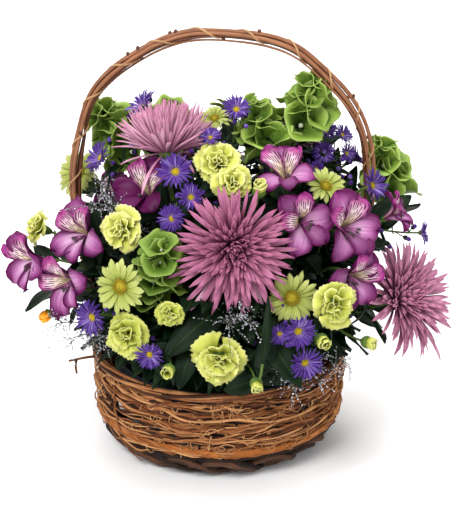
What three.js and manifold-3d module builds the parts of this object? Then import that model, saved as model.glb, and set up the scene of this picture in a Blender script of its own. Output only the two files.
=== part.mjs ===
// A round vine basket with an arched handle, filled with a bouquet of cut flowers.
// A plastic dish in the basket holds a block of wet foam, and every cut stem is pushed into the foam.
// Millimetres, +Z up. The origin is the middle of the basket's flat underside, and -Y is the front.
import * as THREE from "three";
import { mergeVertices } from "three/addons/utils/BufferGeometryUtils.js";
import Module from "manifold-3d";

const wasm = await Module();
wasm.setup();

// ---------------------------------------------------------------- driving dimensions

const GAP = 0.4; // left between pieces that touch

const RIM_HEIGHT = 100;
const RIM_RADIUS = 129;
const WALL_FLARE = 5; // how much the wall narrows evenly from rim to floor
const FOOT_ROUND = 30; // how much more it tucks in round the foot
const FOOT_SHARPNESS = 10;
const WALL_THICKNESS = 8;
const BASKET_SIDES = 28;

const BASE_THICKNESS = 7;
const FOOT_BAND_TOP = 26;
const FOOT_ROWS = 2;
const BODY_ROWS = 5;
const ROW_RELIEF = 2.2; // how far a woven row stands out from the groove beside it
const HOOP_TUBE = 4.5; // radius of the rim hoop's own section
const HOOP_SIDES = 6;

const ROD_RADIUS = 2.3;
const ROD_SIDES = 6;
const ROD_STEPS = 26;
const BINDING_RADIUS = 1;
const BINDING_PITCH = 45; // along the handle, from one turn of the binding to the next
const BINDING_MARGIN = 100; // unbound length at each end of the handle
const BINDING_SLACK = 1; // how loosely the binding lies round the rods
const BINDING_STEPS_A_TURN = 8;
// The handle's centreline as x, z: up inside the wall, out over the rim, round the arch and down again.
const HANDLE_LINE = [
  [-107.5, 34], [-112.6, 100], [-129, 165], [-139, 225], [-141, 285], [-123, 355],
  [-97, 386], [-62, 409], [-20, 420], [22, 420], [62, 410], [100, 382],
  [128, 347], [145, 300], [146, 240], [134, 165], [112.6, 100], [107.5, 34],
];

const DISH_WALL = 1.5;
const DISH_OUTLINE = [[84, 7.4], [97, 22], [101, 36], [105, 90]]; // outer radius, height
const DISH_SIDES = 24;

const FOAM_WIDTH = 136;
const FOAM_DEPTH = 112;
const FOAM_TOP = 148;
const FOAM_BEVEL = 6;
const FOAM_CORNER = 22;
const STEM_DEPTH = 24; // how deep a cut stem stands in the foam
const FOCUS = new THREE.Vector3(0, 0, 85); // the point in the foam that the stems spread from

const STEM_SIDES = 5;
const STEM_STEPS = 4;
const TWIG_STEPS = 2;
const FORK_SHARE = 0.5; // how far up a spray its side stems leave the main one
const LEAF_THICKNESS = 1.2;
const LEAF_ROOT = 3; // how far a leaf reaches back along its stem

// ---------------------------------------------------------------- the flowers

// A kind's bloom is a turned profile of [radius, height], as shares of the bloom's own radius. It runs from
// the stem to the flat front, and its outline is notched between the lobes.
const KINDS = {
  mum: {
    colour: 0xb77aa3, stem: 2.5, lobes: 8, notch: 0.14,
    profile: [[0.18, 0], [0.72, 0.2], [1, 0.44], [0.55, 0.62]],
  },
  deepMum: {
    colour: 0xb77aa3, stem: 2.5, lobes: 8, notch: 0.1,
    profile: [[0.2, 0], [0.72, 0.28], [1, 0.85], [0.5, 1.08]],
  },
  alstroemeria: {
    colour: 0x9a3d92, stem: 1.9, lobes: 6, notch: 0.22,
    profile: [[0.14, 0], [0.36, 0.5], [1, 0.95]],
  },
  carnation: {
    colour: 0xd5dd72, stem: 1.5, lobes: 5, notch: 0.08,
    profile: [[0.24, 0], [0.3, 0.6], [1, 0.95], [0.66, 1.3]],
  },
  daisy: {
    colour: 0xdbe08c, stem: 1.6, lobes: 9, notch: 0.2,
    profile: [[0.2, 0], [1, 0.2], [1, 0.28]],
  },
  aster: {
    colour: 0x5a44a8, stem: 1.4, lobes: 5, notch: 0.12,
    profile: [[0.24, 0], [0.3, 0.25], [1, 0.5]],
  },
  limonium: {
    colour: 0xa9a7b5, stem: 1.2, lobes: 3, notch: 0.1,
    profile: [[0.3, 0], [1, 1.1]],
  },
  bud: {
    colour: 0xf09a1a, stem: 1.2, lobes: 4, notch: 0.05,
    profile: [[0.35, 0], [1, 0.8], [0.6, 2.1]],
  },
};

// A spray is one cut stem and its blooms. Each bloom has the x, y, z of the middle of its front, the azimuth
// and the elevation that it faces, in degrees, and its radius.
const SPRAYS = [
  ["mum_top_left", KINDS.deepMum,
    [-51, -36, 358, 100, 72, 44],
  ],
  ["mum_center", KINDS.mum,
    [15, -136, 252, -88, 14, 52],
  ],
  ["mum_right", KINDS.mum,
    [190, -68, 180, -42, 30, 48],
  ],
  ["mum_back", KINDS.mum,
    [-30, 128, 262, 100, 22, 50],
  ],

  ["alstroemeria_left", KINDS.alstroemeria,
    [-138, -80, 248, -128, 22, 31],
    [-192, -66, 212, -140, 10, 30],
    [-152, -96, 200, -125, 0, 31],
  ],
  ["alstroemeria_upper_left", KINDS.alstroemeria,
    [-74, -72, 292, -118, 42, 30],
  ],
  ["alstroemeria_center", KINDS.alstroemeria,
    [62, -80, 314, -98, 56, 29],
    [82, -104, 267, -76, 14, 30],
  ],
  ["alstroemeria_right", KINDS.alstroemeria,
    [129, -94, 256, -55, 20, 31],
    [134, -104, 208, -60, 0, 30],
    [176, -58, 264, -8, 34, 23],
  ],
  ["alstroemeria_back_left", KINDS.alstroemeria,
    [-116, 104, 220, 140, 12, 31],
    [-99, 118, 198, 126, 0, 30],
  ],
  ["alstroemeria_back_right", KINDS.alstroemeria,
    [96, 100, 262, 50, 25, 31],
    [140, 74, 218, 25, 10, 31],
    [62, 44, 308, -80, 55, 22],
  ],

  ["carnation_top", KINDS.carnation,
    [-1, -87, 325, -94, 40, 20],
    [14, -104, 308, -82, 25, 18],
    [38, -96, 301, -80, 72, 10],
  ],
  ["carnation_left", KINDS.carnation,
    [-94, -108, 261, -112, 15, 20],
  ],
  ["carnation_far_left", KINDS.carnation,
    [-184, -34, 238, -165, 25, 17],
  ],
  ["carnation_lower_left", KINDS.carnation,
    [-89, -144, 168, -108, 8, 21],
    [-46, -148, 191, -95, -5, 13],
    [-47, -166, 143, -98, 0, 9],
  ],
  ["carnation_front", KINDS.carnation,
    [1, -164, 150, -90, 0, 24],
    [36, -163, 126, -80, -20, 9],
  ],
  ["carnation_right", KINDS.carnation,
    [114, -136, 196, -68, 8, 22],
    [98, -146, 164, -70, 0, 10],
    [146, -114, 148, -35, 0, 9],
  ],
  ["carnation_back_left", KINDS.carnation,
    [-62, 140, 178, 112, 5, 22],
    [-20, 148, 190, 98, 5, 18],
  ],
  ["carnation_back_right", KINDS.carnation,
    [60, 126, 230, 70, 20, 21],
    [98, 124, 190, 55, 5, 20],
  ],

  ["daisy_left", KINDS.daisy,
    [-92, -130, 214, -112, 16, 25],
  ],
  ["daisy_handle", KINDS.daisy,
    [-142, 32, 269, -125, 32, 25],
  ],
  ["daisy_right", KINDS.daisy,
    [102, -66, 291, -58, 52, 21],
  ],
  ["daisy_lower_right", KINDS.daisy,
    [69, -123, 199, -84, 22, 25],
  ],
  ["daisy_top", KINDS.daisy,
    [-4, -4, 338, -100, 64, 16],
    [12, 62, 326, 80, 50, 24],
  ],

  ["aster_top", KINDS.aster,
    [17, -32, 357, -88, 46, 14],
    [-8, -68, 341, -95, 56, 11],
  ],
  ["aster_top_left", KINDS.aster,
    [-118, -24, 305, -150, 30, 17],
    [-76, 2, 350, -160, 50, 18],
  ],
  ["aster_middle", KINDS.aster,
    [-41, -88, 314, -100, 38, 18],
    [-26, -106, 294, -98, 25, 13],
    [-44, -117, 277, -105, 22, 14],
  ],
  ["aster_lower_left", KINDS.aster,
    [-122, -122, 178, -126, 8, 18],
    [-65, -150, 152, -100, 2, 14],
  ],
  ["aster_front_right", KINDS.aster,
    [75, -158, 180, -74, 8, 17],
    [57, -150, 174, -84, 5, 11],
    [82, -156, 146, -72, 0, 17],
  ],
  ["aster_right", KINDS.aster,
    [152, -32, 279, -38, 26, 17],
    [113, -77, 269, -55, 30, 10],
    [200, -44, 234, -12, 8, 12],
  ],
  ["aster_back_right", KINDS.aster,
    [124, 24, 312, -40, 40, 11],
    [106, 8, 322, -70, 50, 11],
    [140, 42, 282, 15, 28, 14],
    [102, -8, 304, -85, 35, 12],
    [128, 18, 294, -50, 25, 10],
    [94, -24, 292, -100, 25, 9],
  ],
  ["aster_back", KINDS.aster,
    [34, 106, 292, 75, 32, 16],
    [62, 84, 304, 60, 40, 15],
    [20, 140, 238, 85, 15, 15],
  ],

  ["limonium_left", KINDS.limonium,
    [-112, -58, 284, -140, 40, 5],
    [-126, -70, 272, -140, 10, 5],
    [-104, -86, 280, -110, 30, 5],
  ],
  ["limonium_center", KINDS.limonium,
    [22, -146, 198, -85, 0, 5],
    [30, -152, 188, -80, -5, 5],
    [10, -152, 182, -92, -10, 5],
  ],
  ["limonium_front_right", KINDS.limonium,
    [94, -146, 124, -65, -30, 5],
    [124, -132, 134, -50, -15, 5],
    [70, -158, 122, -78, -35, 5],
  ],
  ["limonium_lower_left", KINDS.limonium,
    [-142, -104, 148, -135, -5, 5],
    [-122, -118, 150, -125, -20, 5],
    [-156, -90, 158, -145, 5, 5],
  ],
  ["limonium_back", KINDS.limonium,
    [-100, 126, 160, 125, -5, 5],
    [70, 140, 170, 65, 0, 5],
    [10, 152, 165, 88, -5, 5],
  ],

  ["orange_bud", KINDS.bud,
    [-172, -76, 156, -140, -20, 6],
  ],
];

// Each spike of green bells: where its bells begin and its tip.
const SPIKES = [
  ["bells_left", [-84, 24, 292], [-116, 20, 334]],
  ["bells_top", [48, -20, 308], [34, -4, 346]],
  ["bells_top_right", [78, 2, 326], [91, 4, 370]],
  ["bells_right", [169, 30, 244], [160, 34, 294]],
  ["bells_front_left", [-60, -114, 212], [-48, -122, 254]],
  ["bells_back", [-42, 60, 282], [-52, 64, 324]],
];
const BELL = { stem: 3, radius: 19, waist: 12, whorl: 16, tip: 8, sides: 7, colour: 0x86a83c };

// Each leaf of a branch of foliage: its base, its tip and its width.
const BRANCHES = [
  ["foliage_front_left",
    [[-20, -126, 158], [-38, -150, 118], 22],
    [[5, -116, 186], [-52, -147, 149], 32],
    [[-36, -84, 126], [-56, -120, 110], 24],
  ],
  ["foliage_front_right",
    [[44, -128, 160], [76, -162, 124], 26],
    [[46, -136, 204], [40, -162, 150], 9],
    [[72, -70, 136], [98, -96, 116], 24],
  ],
  ["foliage_right",
    [[148, -18, 230], [188, -10, 260], 28],
    [[128, -86, 142], [158, -98, 132], 18],
    [[90, -33, 128], [128, -45, 110], 26],
  ],
  ["foliage_left",
    [[-98, -80, 158], [-138, -100, 154], 22],
    [[-140, -60, 176], [-186, -84, 168], 26],
    [[-91, 31, 135], [-128, 44, 113], 27],
  ],
  ["foliage_back_left",
    [[-104, 66, 168], [-164, 84, 150], 34],
    [[-68, 106, 146], [-96, 146, 126], 28],
    [[-36, 84, 134], [-48, 132, 112], 32],
    [[-84, 62, 134], [-118, 84, 112], 28],
  ],
  ["foliage_back_right",
    [[120, 50, 176], [178, 72, 164], 34],
    [[60, 112, 146], [84, 156, 124], 30],
    [[20, 86, 134], [24, 136, 112], 32],
    [[86, 62, 134], [118, 84, 112], 28],
    [[94, 28, 136], [130, 42, 114], 24],
  ],
];
const FOLIAGE = { stem: 1.8, twig: 1.2, colour: 0x1f4a26 };

const COLOURS = {
  vine: 0x8a5a35, darkVine: 0x5b3f2b, handle: 0x95532e,
  cane: 0xb5824f, dish: 0x2c3b4e, foam: 0x2f5a3a,
};

// ---------------------------------------------------------------- solids

const UP = new THREE.Vector3(0, 0, 1);

// A closed geometry as a manifold solid, with its seams welded and its flat triangles dropped.
function solidOf(geometry) {
  const bare = geometry.index ? geometry.toNonIndexed() : geometry.clone();
  const points = new THREE.BufferGeometry().setAttribute("position", bare.getAttribute("position"));
  const welded = mergeVertices(points, 1e-3);
  const corners = welded.index.array;
  const kept = [];
  for (let i = 0; i < corners.length; i += 3) {
    const [a, b, c] = corners.slice(i, i + 3);
    if (a !== b && b !== c && c !== a) kept.push(a, b, c);
  }
  const vertProperties = welded.attributes.position.array;
  const fromOrder = (order) =>
    new wasm.Manifold(new wasm.Mesh({ numProp: 3, vertProperties, triVerts: new Uint32Array(order) }));
  const made = fromOrder(kept);
  return made.volume() > 0 ? made : fromOrder(kept.reverse());
}

function geometryOf(solid) {
  const mesh = solid.getMesh();
  const positions = new Float32Array(mesh.numVert * 3);
  for (let i = 0; i < mesh.numVert; i++) {
    positions.set(mesh.vertProperties.subarray(i * mesh.numProp, i * mesh.numProp + 3), i * 3);
  }
  const geometry = new THREE.BufferGeometry();
  geometry.setAttribute("position", new THREE.BufferAttribute(positions, 3));
  geometry.setIndex(new THREE.BufferAttribute(mesh.triVerts, 1));
  geometry.computeVertexNormals();
  return geometry;
}

const joined = (solids) => solids.reduce((whole, next) => whole.add(next));

function disc(radius, sides) {
  const points = [];
  for (let i = 0; i < sides; i++) {
    const turn = (i / sides) * Math.PI * 2;
    points.push(new THREE.Vector2(radius * Math.cos(turn), radius * Math.sin(turn)));
  }
  return new THREE.Shape(points);
}

// A round rod along a curve, with both ends closed.
const rod = (curve, radius, sides, steps) =>
  new THREE.ExtrudeGeometry(disc(radius, sides), { steps, bevelEnabled: false, extrudePath: curve });

// A profile of [radius, height] turned about +Z. A ring's closes on itself, and a solid's ends on the axis.
function turned(profile, sides) {
  const points = profile.map(([radius, height]) => new THREE.Vector2(radius, height));
  return new THREE.LatheGeometry(points, sides).rotateX(Math.PI / 2);
}

// Pulls every second spoke of a turned geometry towards the axis, which leaves lobes.
function notched(geometry, lobes, notch, beyond) {
  const at = geometry.attributes.position;
  for (let i = 0; i < at.count; i++) {
    const [x, y] = [at.getX(i), at.getY(i)];
    const spoke = Math.round((Math.atan2(y, x) / Math.PI) * lobes + lobes / 2);
    if (spoke % 2 !== 0 && Math.hypot(x, y) > beyond) {
      at.setXY(i, x * (1 - notch), y * (1 - notch));
    }
  }
  return geometry;
}

// Stands a geometry made along +Z on a point, turned to a direction.
function placed(geometry, origin, direction) {
  const turn = new THREE.Quaternion().setFromUnitVectors(UP, direction);
  return geometry.applyQuaternion(turn).translate(origin.x, origin.y, origin.z);
}

function facing(azimuth, elevation) {
  const [a, e] = [THREE.MathUtils.degToRad(azimuth), THREE.MathUtils.degToRad(elevation)];
  return new THREE.Vector3(Math.cos(a) * Math.cos(e), Math.sin(a) * Math.cos(e), Math.sin(e));
}

// A smooth line that leaves one point along a direction and reaches another along a second one.
function bend(start, leaving, end, arriving) {
  const handle = start.distanceTo(end) / 3;
  return new THREE.CubicBezierCurve3(
    start,
    start.clone().addScaledVector(leaving, handle),
    end.clone().addScaledVector(arriving, -handle),
    end,
  );
}

// ---------------------------------------------------------------- the basket

const basket = new THREE.Group();
basket.name = "basket";
const bouquet = new THREE.Group();
bouquet.name = "bouquet";

function addPiece(group, name, geometry, colour, { x = 0, y = 0, z = 0 } = {}, finish = {}) {
  const material = new THREE.MeshStandardMaterial({ color: colour, roughness: 0.8, metalness: 0, ...finish });
  const mesh = new THREE.Mesh(geometry.translate(-x, -y, -z), material);
  mesh.name = name;
  mesh.position.set(x, y, z);
  group.add(mesh);
}

function wallRadius(height) {
  const below = 1 - height / RIM_HEIGHT;
  return RIM_RADIUS - WALL_FLARE * below - FOOT_ROUND * below ** FOOT_SHARPNESS;
}

// A band of woven rows: its outside swells at each row and dips between them, and its inside is smooth.
function wovenBand(low, high, rows) {
  const outside = [];
  const inside = [];
  for (let i = 0; i <= rows * 2; i++) {
    const height = low + ((high - low) * i) / (rows * 2);
    outside.push([wallRadius(height) - (i % 2 ? 0 : ROW_RELIEF), height]);
    if (i % 2 === 0) inside.unshift([wallRadius(height) - WALL_THICKNESS, height]);
  }
  return turned([...outside, ...inside, outside[0]], BASKET_SIDES);
}

function buildBasket() {
  const baseRadius = wallRadius(GAP) - WALL_THICKNESS - GAP;
  const base = [[0, 0], [baseRadius, 0], [baseRadius, BASE_THICKNESS], [0, BASE_THICKNESS]];
  addPiece(basket, "base_mat", turned(base, BASKET_SIDES), COLOURS.darkVine);

  const bodyTop = RIM_HEIGHT - HOOP_TUBE * (1 + Math.cos(Math.PI / HOOP_SIDES)) - GAP;
  addPiece(basket, "weave_foot", wovenBand(GAP, FOOT_BAND_TOP, FOOT_ROWS), COLOURS.darkVine, { z: GAP });
  const body = wovenBand(FOOT_BAND_TOP + GAP, bodyTop, BODY_ROWS);
  addPiece(basket, "weave_body", body, COLOURS.vine, { z: FOOT_BAND_TOP });

  const hoop = disc(HOOP_TUBE, HOOP_SIDES)
    .getPoints()
    .map(({ x, y }) => [RIM_RADIUS - HOOP_TUBE + x, RIM_HEIGHT - HOOP_TUBE + y]);
  addPiece(basket, "rim_hoop", turned([...hoop, hoop[0]], BASKET_SIDES), COLOURS.vine, { z: RIM_HEIGHT });
}

// The handle's centreline with the direction across it, in the handle's own plane, at even steps.
function handleStations(count) {
  const line = new THREE.CatmullRomCurve3(
    HANDLE_LINE.map(([x, z]) => new THREE.Vector3(x, 0, z)),
    false,
    "centripetal",
  );
  return Array.from({ length: count + 1 }, (_, i) => {
    const share = i / count;
    const along = line.getTangentAt(share);
    return { share, point: line.getPointAt(share), outward: new THREE.Vector3(-along.z, 0, along.x) };
  });
}

// A line that keeps beside the handle's centreline, at a distance and at an angle round it.
function besideHandle(stations, distance, angleAt) {
  const points = stations.map(({ point, outward, share }) => {
    const angle = angleAt(share);
    return point
      .clone()
      .addScaledVector(outward, distance * Math.cos(angle))
      .add(new THREE.Vector3(0, distance * Math.sin(angle), 0));
  });
  return new THREE.CatmullRomCurve3(points, false, "centripetal");
}

function buildHandle() {
  const stations = handleStations(ROD_STEPS * 2);
  const spread = (2 * ROD_RADIUS + GAP) / Math.SQRT2; // four rods in a square, side by side
  ["outer", "back", "inner", "front"].forEach((side, i) => {
    const line = besideHandle(stations, spread, () => (i * Math.PI) / 2);
    const solid = solidOf(rod(line, ROD_RADIUS, ROD_SIDES, ROD_STEPS));
    addPiece(basket, `handle_rod_${side}`, geometryOf(solid), COLOURS.handle);
  });

  const length = new THREE.CatmullRomCurve3(stations.map((s) => s.point)).getLength();
  const bound = length - 2 * BINDING_MARGIN;
  const turns = Math.round(bound / BINDING_PITCH);
  const steps = turns * BINDING_STEPS_A_TURN;
  const boundStations = handleStations(steps * 2).filter(
    ({ share }) => share * length >= BINDING_MARGIN && share * length <= length - BINDING_MARGIN,
  );
  const clear = spread + ROD_RADIUS + BINDING_SLACK + BINDING_RADIUS;
  const helix = besideHandle(boundStations, clear / Math.cos(Math.PI / BINDING_STEPS_A_TURN), (share) =>
    ((BINDING_MARGIN - share * length) / bound) * turns * Math.PI * 2,
  );
  addPiece(basket, "handle_binding", geometryOf(solidOf(rod(helix, BINDING_RADIUS, 4, steps))), COLOURS.cane);
}

function buildDish() {
  const outer = DISH_OUTLINE;
  const floor = outer[0][1] + DISH_WALL;
  const inner = outer.slice(1).map(([radius, height]) => [radius - DISH_WALL, height]).reverse();
  const profile = [[0, outer[0][1]], ...outer, ...inner, [outer[0][0] - DISH_WALL, floor], [0, floor]];
  addPiece(basket, "water_dish", turned(profile, DISH_SIDES), COLOURS.dish, { z: floor }, { roughness: 0.4 });
}

// The foam block, with a socket for each stem.
function buildFoam(sockets) {
  const bottom = DISH_OUTLINE[0][1] + DISH_WALL + GAP;
  const [w, d] = [FOAM_WIDTH / 2 - FOAM_BEVEL, FOAM_DEPTH / 2 - FOAM_BEVEL];
  const c = FOAM_CORNER;
  const outline = [
    [w, c - d], [w, d - c], [w - c, d], [c - w, d],
    [-w, d - c], [-w, c - d], [c - w, -d], [w - c, -d],
  ];
  const block = new THREE.ExtrudeGeometry(new THREE.Shape(outline.map(([x, y]) => new THREE.Vector2(x, y))), {
    depth: FOAM_TOP - bottom - 2 * FOAM_BEVEL,
    bevelThickness: FOAM_BEVEL,
    bevelSize: FOAM_BEVEL,
    bevelSegments: 1,
  }).translate(0, 0, bottom + FOAM_BEVEL);
  const foam = solidOf(block).subtract(joined(sockets));
  addPiece(bouquet, "foam_block", geometryOf(foam), COLOURS.foam, { z: bottom });
}

// ---------------------------------------------------------------- the cut stems

// Where a stem that leads to a point is cut off, inside the foam, and the way it leaves.
function footFor(target) {
  const away = target.clone().sub(FOCUS).normalize();
  const reach = Math.min(
    FOAM_WIDTH / 2 / Math.abs(away.x),
    FOAM_DEPTH / 2 / Math.abs(away.y),
    away.z > 0 ? (FOAM_TOP - FOCUS.z) / away.z : Infinity,
  );
  return { foot: FOCUS.clone().addScaledVector(away, reach - STEM_DEPTH), away };
}

// The socket that a stem stands in: the same line, a little deeper and wider.
function socketFor({ foot, away }, end, arriving, radius) {
  const line = bend(foot.clone().addScaledVector(away, -GAP), away, end, arriving);
  return solidOf(rod(line, radius + GAP, STEM_SIDES, STEM_STEPS));
}

function bloomSolid(kind, back, direction, radius) {
  const rings = kind.profile.map(([out, up]) => [out * radius, up * radius]);
  const profile = [[0, rings[0][1]], ...rings, [0, rings.at(-1)[1]]];
  const shape = notched(turned(profile, kind.lobes * 2), kind.lobes, kind.notch, 0.9 * radius);
  return solidOf(placed(shape, back, direction));
}

function buildSpray([name, kind, ...rows]) {
  const blooms = rows.map(([x, y, z, azimuth, elevation, radius]) => {
    const direction = facing(azimuth, elevation);
    const depth = kind.profile.at(-1)[1] * radius;
    return { radius, direction, back: new THREE.Vector3(x, y, z).addScaledVector(direction, -depth) };
  });
  const lead = blooms[0];
  const sum = blooms.reduce((total, bloom) => total.add(bloom.back), new THREE.Vector3());
  const start = footFor(sum.divideScalar(blooms.length));
  const main = bend(start.foot, start.away, lead.back, lead.direction);
  const solids = [solidOf(rod(main, kind.stem, STEM_SIDES, STEM_STEPS))];
  for (const { back, direction, radius } of blooms) {
    solids.push(bloomSolid(kind, back.clone().addScaledVector(direction, -GAP), direction, radius));
  }
  for (const { back, direction } of blooms.slice(1)) {
    const twig = bend(main.getPointAt(FORK_SHARE), main.getTangentAt(FORK_SHARE), back, direction);
    solids.push(solidOf(rod(twig, kind.stem * 0.75, STEM_SIDES, TWIG_STEPS)));
  }
  addPiece(bouquet, name, geometryOf(joined(solids)), kind.colour, start.foot);
  return socketFor(start, lead.back, lead.direction, kind.stem);
}

function buildSpike([name, from, to]) {
  const [base, tip] = [new THREE.Vector3(...from), new THREE.Vector3(...to)];
  const direction = tip.clone().sub(base).normalize();
  const length = base.distanceTo(tip);
  const whorls = Math.round(length / BELL.whorl);
  const profile = [[0, 0]];
  for (let i = 0; i <= whorls * 2; i++) {
    const share = i / (whorls * 2);
    const full = i % 2 ? BELL.radius : BELL.waist;
    profile.push([THREE.MathUtils.lerp(full, BELL.tip, share ** 3), share * length]);
  }
  profile.push([0, length]);
  const start = footFor(base);
  const stem = bend(start.foot, start.away, base, direction);
  const longer = bend(start.foot, start.away, base.clone().addScaledVector(direction, 1), direction);
  const spike = solidOf(placed(turned(profile, BELL.sides), base, direction));
  const solid = spike.add(solidOf(rod(longer, BELL.stem, STEM_SIDES, STEM_STEPS)));
  addPiece(bouquet, name, geometryOf(solid), BELL.colour, start.foot);
  return socketFor(start, stem.v3, direction, BELL.stem);
}

// A flat leaf between its base and its tip, with its face turned out from the middle of the bouquet.
function leafSolid(base, tip, width) {
  const length = base.distanceTo(tip) + LEAF_ROOT;
  const outline = [[0, 0.06], [0.18, 0.36], [0.42, 0.5], [0.7, 0.36], [1, 0.04]];
  const half = outline.map(([along, out]) => new THREE.Vector2(along * length, out * width));
  const mirrored = half.map((p) => new THREE.Vector2(p.x, -p.y)).reverse();
  const plate = new THREE.ExtrudeGeometry(new THREE.Shape([...half, ...mirrored]), {
    depth: LEAF_THICKNESS,
    bevelEnabled: false,
  });
  const along = tip.clone().sub(base).normalize();
  const outward = base.clone().add(tip).multiplyScalar(0.5).sub(FOCUS);
  const across = outward.cross(along).normalize();
  const frame = new THREE.Matrix4().makeBasis(along, across, along.clone().cross(across));
  frame.setPosition(base.clone().addScaledVector(along, -LEAF_ROOT));
  return solidOf(plate.applyMatrix4(frame));
}

function buildBranch([name, ...rows]) {
  const leaves = rows.map(([from, to, width]) => ({
    base: new THREE.Vector3(...from),
    tip: new THREE.Vector3(...to),
    width,
  }));
  const start = footFor(leaves[0].base);
  const wayOf = ({ base, tip }) => tip.clone().sub(base).normalize();
  const lineTo = (leaf, point, leaving) => bend(point, leaving, leaf.base, wayOf(leaf));
  const main = lineTo(leaves[0], start.foot, start.away);
  const solids = [solidOf(rod(main, FOLIAGE.stem, STEM_SIDES, STEM_STEPS))];
  for (const leaf of leaves) solids.push(leafSolid(leaf.base, leaf.tip, leaf.width));
  for (const leaf of leaves.slice(1)) {
    const twig = lineTo(leaf, main.getPointAt(FORK_SHARE), main.getTangentAt(FORK_SHARE));
    solids.push(solidOf(rod(twig, FOLIAGE.twig, STEM_SIDES, TWIG_STEPS)));
  }
  addPiece(bouquet, name, geometryOf(joined(solids)), FOLIAGE.colour, start.foot);
  return socketFor(start, leaves[0].base, wayOf(leaves[0]), FOLIAGE.stem);
}

// ---------------------------------------------------------------- the whole

buildBasket();
buildHandle();
buildDish();
buildFoam([...SPRAYS.map(buildSpray), ...SPIKES.map(buildSpike), ...BRANCHES.map(buildBranch)]);

const arrangement = new THREE.Group();
arrangement.name = "flower_basket";
arrangement.add(basket, bouquet);

export default arrangement;
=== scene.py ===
"""The looks of a vine basket full of cut flowers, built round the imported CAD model.

Lengths are in metres, in the model's own frame: +Z up, -Y to the front, the origin under the middle of the
basket. Each bloom, leaf, spike, stem and rod is read from its CAD solid, so it lies, faces and measures what
the solid does.
"""

import math
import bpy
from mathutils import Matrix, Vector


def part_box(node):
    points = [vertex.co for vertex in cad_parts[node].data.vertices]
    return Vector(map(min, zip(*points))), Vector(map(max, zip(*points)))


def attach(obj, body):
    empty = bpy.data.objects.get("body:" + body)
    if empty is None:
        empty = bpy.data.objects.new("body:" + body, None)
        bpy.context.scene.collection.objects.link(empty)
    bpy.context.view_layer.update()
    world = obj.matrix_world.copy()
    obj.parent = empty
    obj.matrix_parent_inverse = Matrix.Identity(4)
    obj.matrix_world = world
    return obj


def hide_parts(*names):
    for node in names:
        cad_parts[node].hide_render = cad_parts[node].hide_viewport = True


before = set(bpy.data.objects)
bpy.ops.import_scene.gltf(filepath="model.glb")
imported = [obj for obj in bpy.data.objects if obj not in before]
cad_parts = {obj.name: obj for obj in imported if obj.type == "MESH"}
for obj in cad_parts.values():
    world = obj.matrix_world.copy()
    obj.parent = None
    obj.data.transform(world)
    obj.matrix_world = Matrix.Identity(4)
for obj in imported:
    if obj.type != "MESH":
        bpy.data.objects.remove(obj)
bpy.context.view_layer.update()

import zlib

import bpy
import numpy as np
from mathutils import Vector

MM = 0.001
FULL_TURN = 2 * math.pi
GOLDEN_ANGLE = math.pi * (3 - math.sqrt(5))
UP = np.array([0, 0, 1.0])
BACK = np.array([0, 1.0, 0])
STEM_FOCUS = np.array([0, 0, 85 * MM])  # the point in the foam that the stems spread from
WELD = 0.01  # the grid, in millimetres, that CAD corners are rounded to
FLAT = 0.9995  # the least cosine between neighbouring triangles of one flat face
LEAST_FACE = 20 * MM * MM  # smaller flat faces aren't looked at
LOWEST_TIP = 108 * MM  # leaves along stems keep their tips above the rim
BUD_RADIUS = 12 * MM  # a carnation that is smaller is a bud

# ---------------------------------------------------------------- small maths


def unit(v):
    return v / np.maximum(np.linalg.norm(v, axis=-1, keepdims=True), 1e-12)


def dice(name):
    """A random generator of its own for each name, the same on each run."""
    return np.random.default_rng(zlib.crc32(name.encode()))


def bezier(t, a, b, c, d):
    """Points of a cubic, at each t. The ends and handles are numbers or points."""
    a, b, c, d = (np.asarray(p, float) for p in (a, b, c, d))
    t = np.asarray(t, float)
    if a.ndim:
        t = t[..., None]
    s = 1 - t
    return s**3 * a + 3 * s * s * t * b + 3 * s * t * t * c + t**3 * d


def bend(start, leaving, end, arriving, count):
    """A smooth path that leaves one point along a direction and reaches another along a second one."""
    handle = np.linalg.norm(end - start) / 3
    return bezier(np.linspace(0, 1, count), start, start + leaving * handle, end - arriving * handle, end)


def through(points, count):
    """A smooth path of `count` points through the given ones."""
    p = np.asarray(points, float)
    p = np.concatenate([2 * p[:1] - p[1:2], p, 2 * p[-1:] - p[-2:-1]])
    spans = len(p) - 3
    t = np.linspace(0, spans, count)
    i = np.minimum(t.astype(int), spans - 1)
    t = (t - i)[:, None]
    a, b, c, d = p[i], p[i + 1], p[i + 2], p[i + 3]
    return 0.5 * (2 * b + (c - a) * t + (2 * a - 5 * b + 4 * c - d) * t**2 + (3 * b - a - 3 * c + d) * t**3)


def any_side(direction):
    """A unit vector across each direction."""
    least = np.eye(3)[np.abs(direction).argmin(-1)]
    return unit(np.cross(direction, least))


def sideways(way, turn):
    """A unit vector across a direction, turned about it."""
    side = any_side(way)
    return side * math.cos(turn) + np.cross(way, side) * math.sin(turn)


def polar(out, turn, height):
    """Points so far out from the Z axis, at angles about it, at heights."""
    return np.stack([out * np.cos(turn), out * np.sin(turn), height], -1)


def scatter(rng, amount, shape):
    """Random factors round 1."""
    return 1 + rng.normal(0, amount, shape)


def ripple(rng, x, waves, size):
    """A sine along x that starts at a random phase."""
    return size * np.sin(x * waves + rng.uniform(0, 6))


def smoothed(values, count):
    """Each value made the mean of itself and its neighbours, `count` in all."""
    return np.convolve(np.pad(values, count // 2, "edge"), np.full(count, 1 / count), "valid")


def axes_facing(out):
    """Right, up and outward directions of a bloom that faces `out`."""
    out = unit(out)
    right = np.cross([0, 0, 1], out)
    right = unit(right) if np.linalg.norm(right) > 1e-3 else np.array([1.0, 0, 0])
    return np.array([right, np.cross(out, right), out])


# ---------------------------------------------------------------- closed meshes


def quads(a, b, c, d):
    """Faces of four corners from four equal grids of vertex numbers."""
    return np.stack([x.reshape(-1) for x in (a, b, c, d)], 1)


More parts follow.
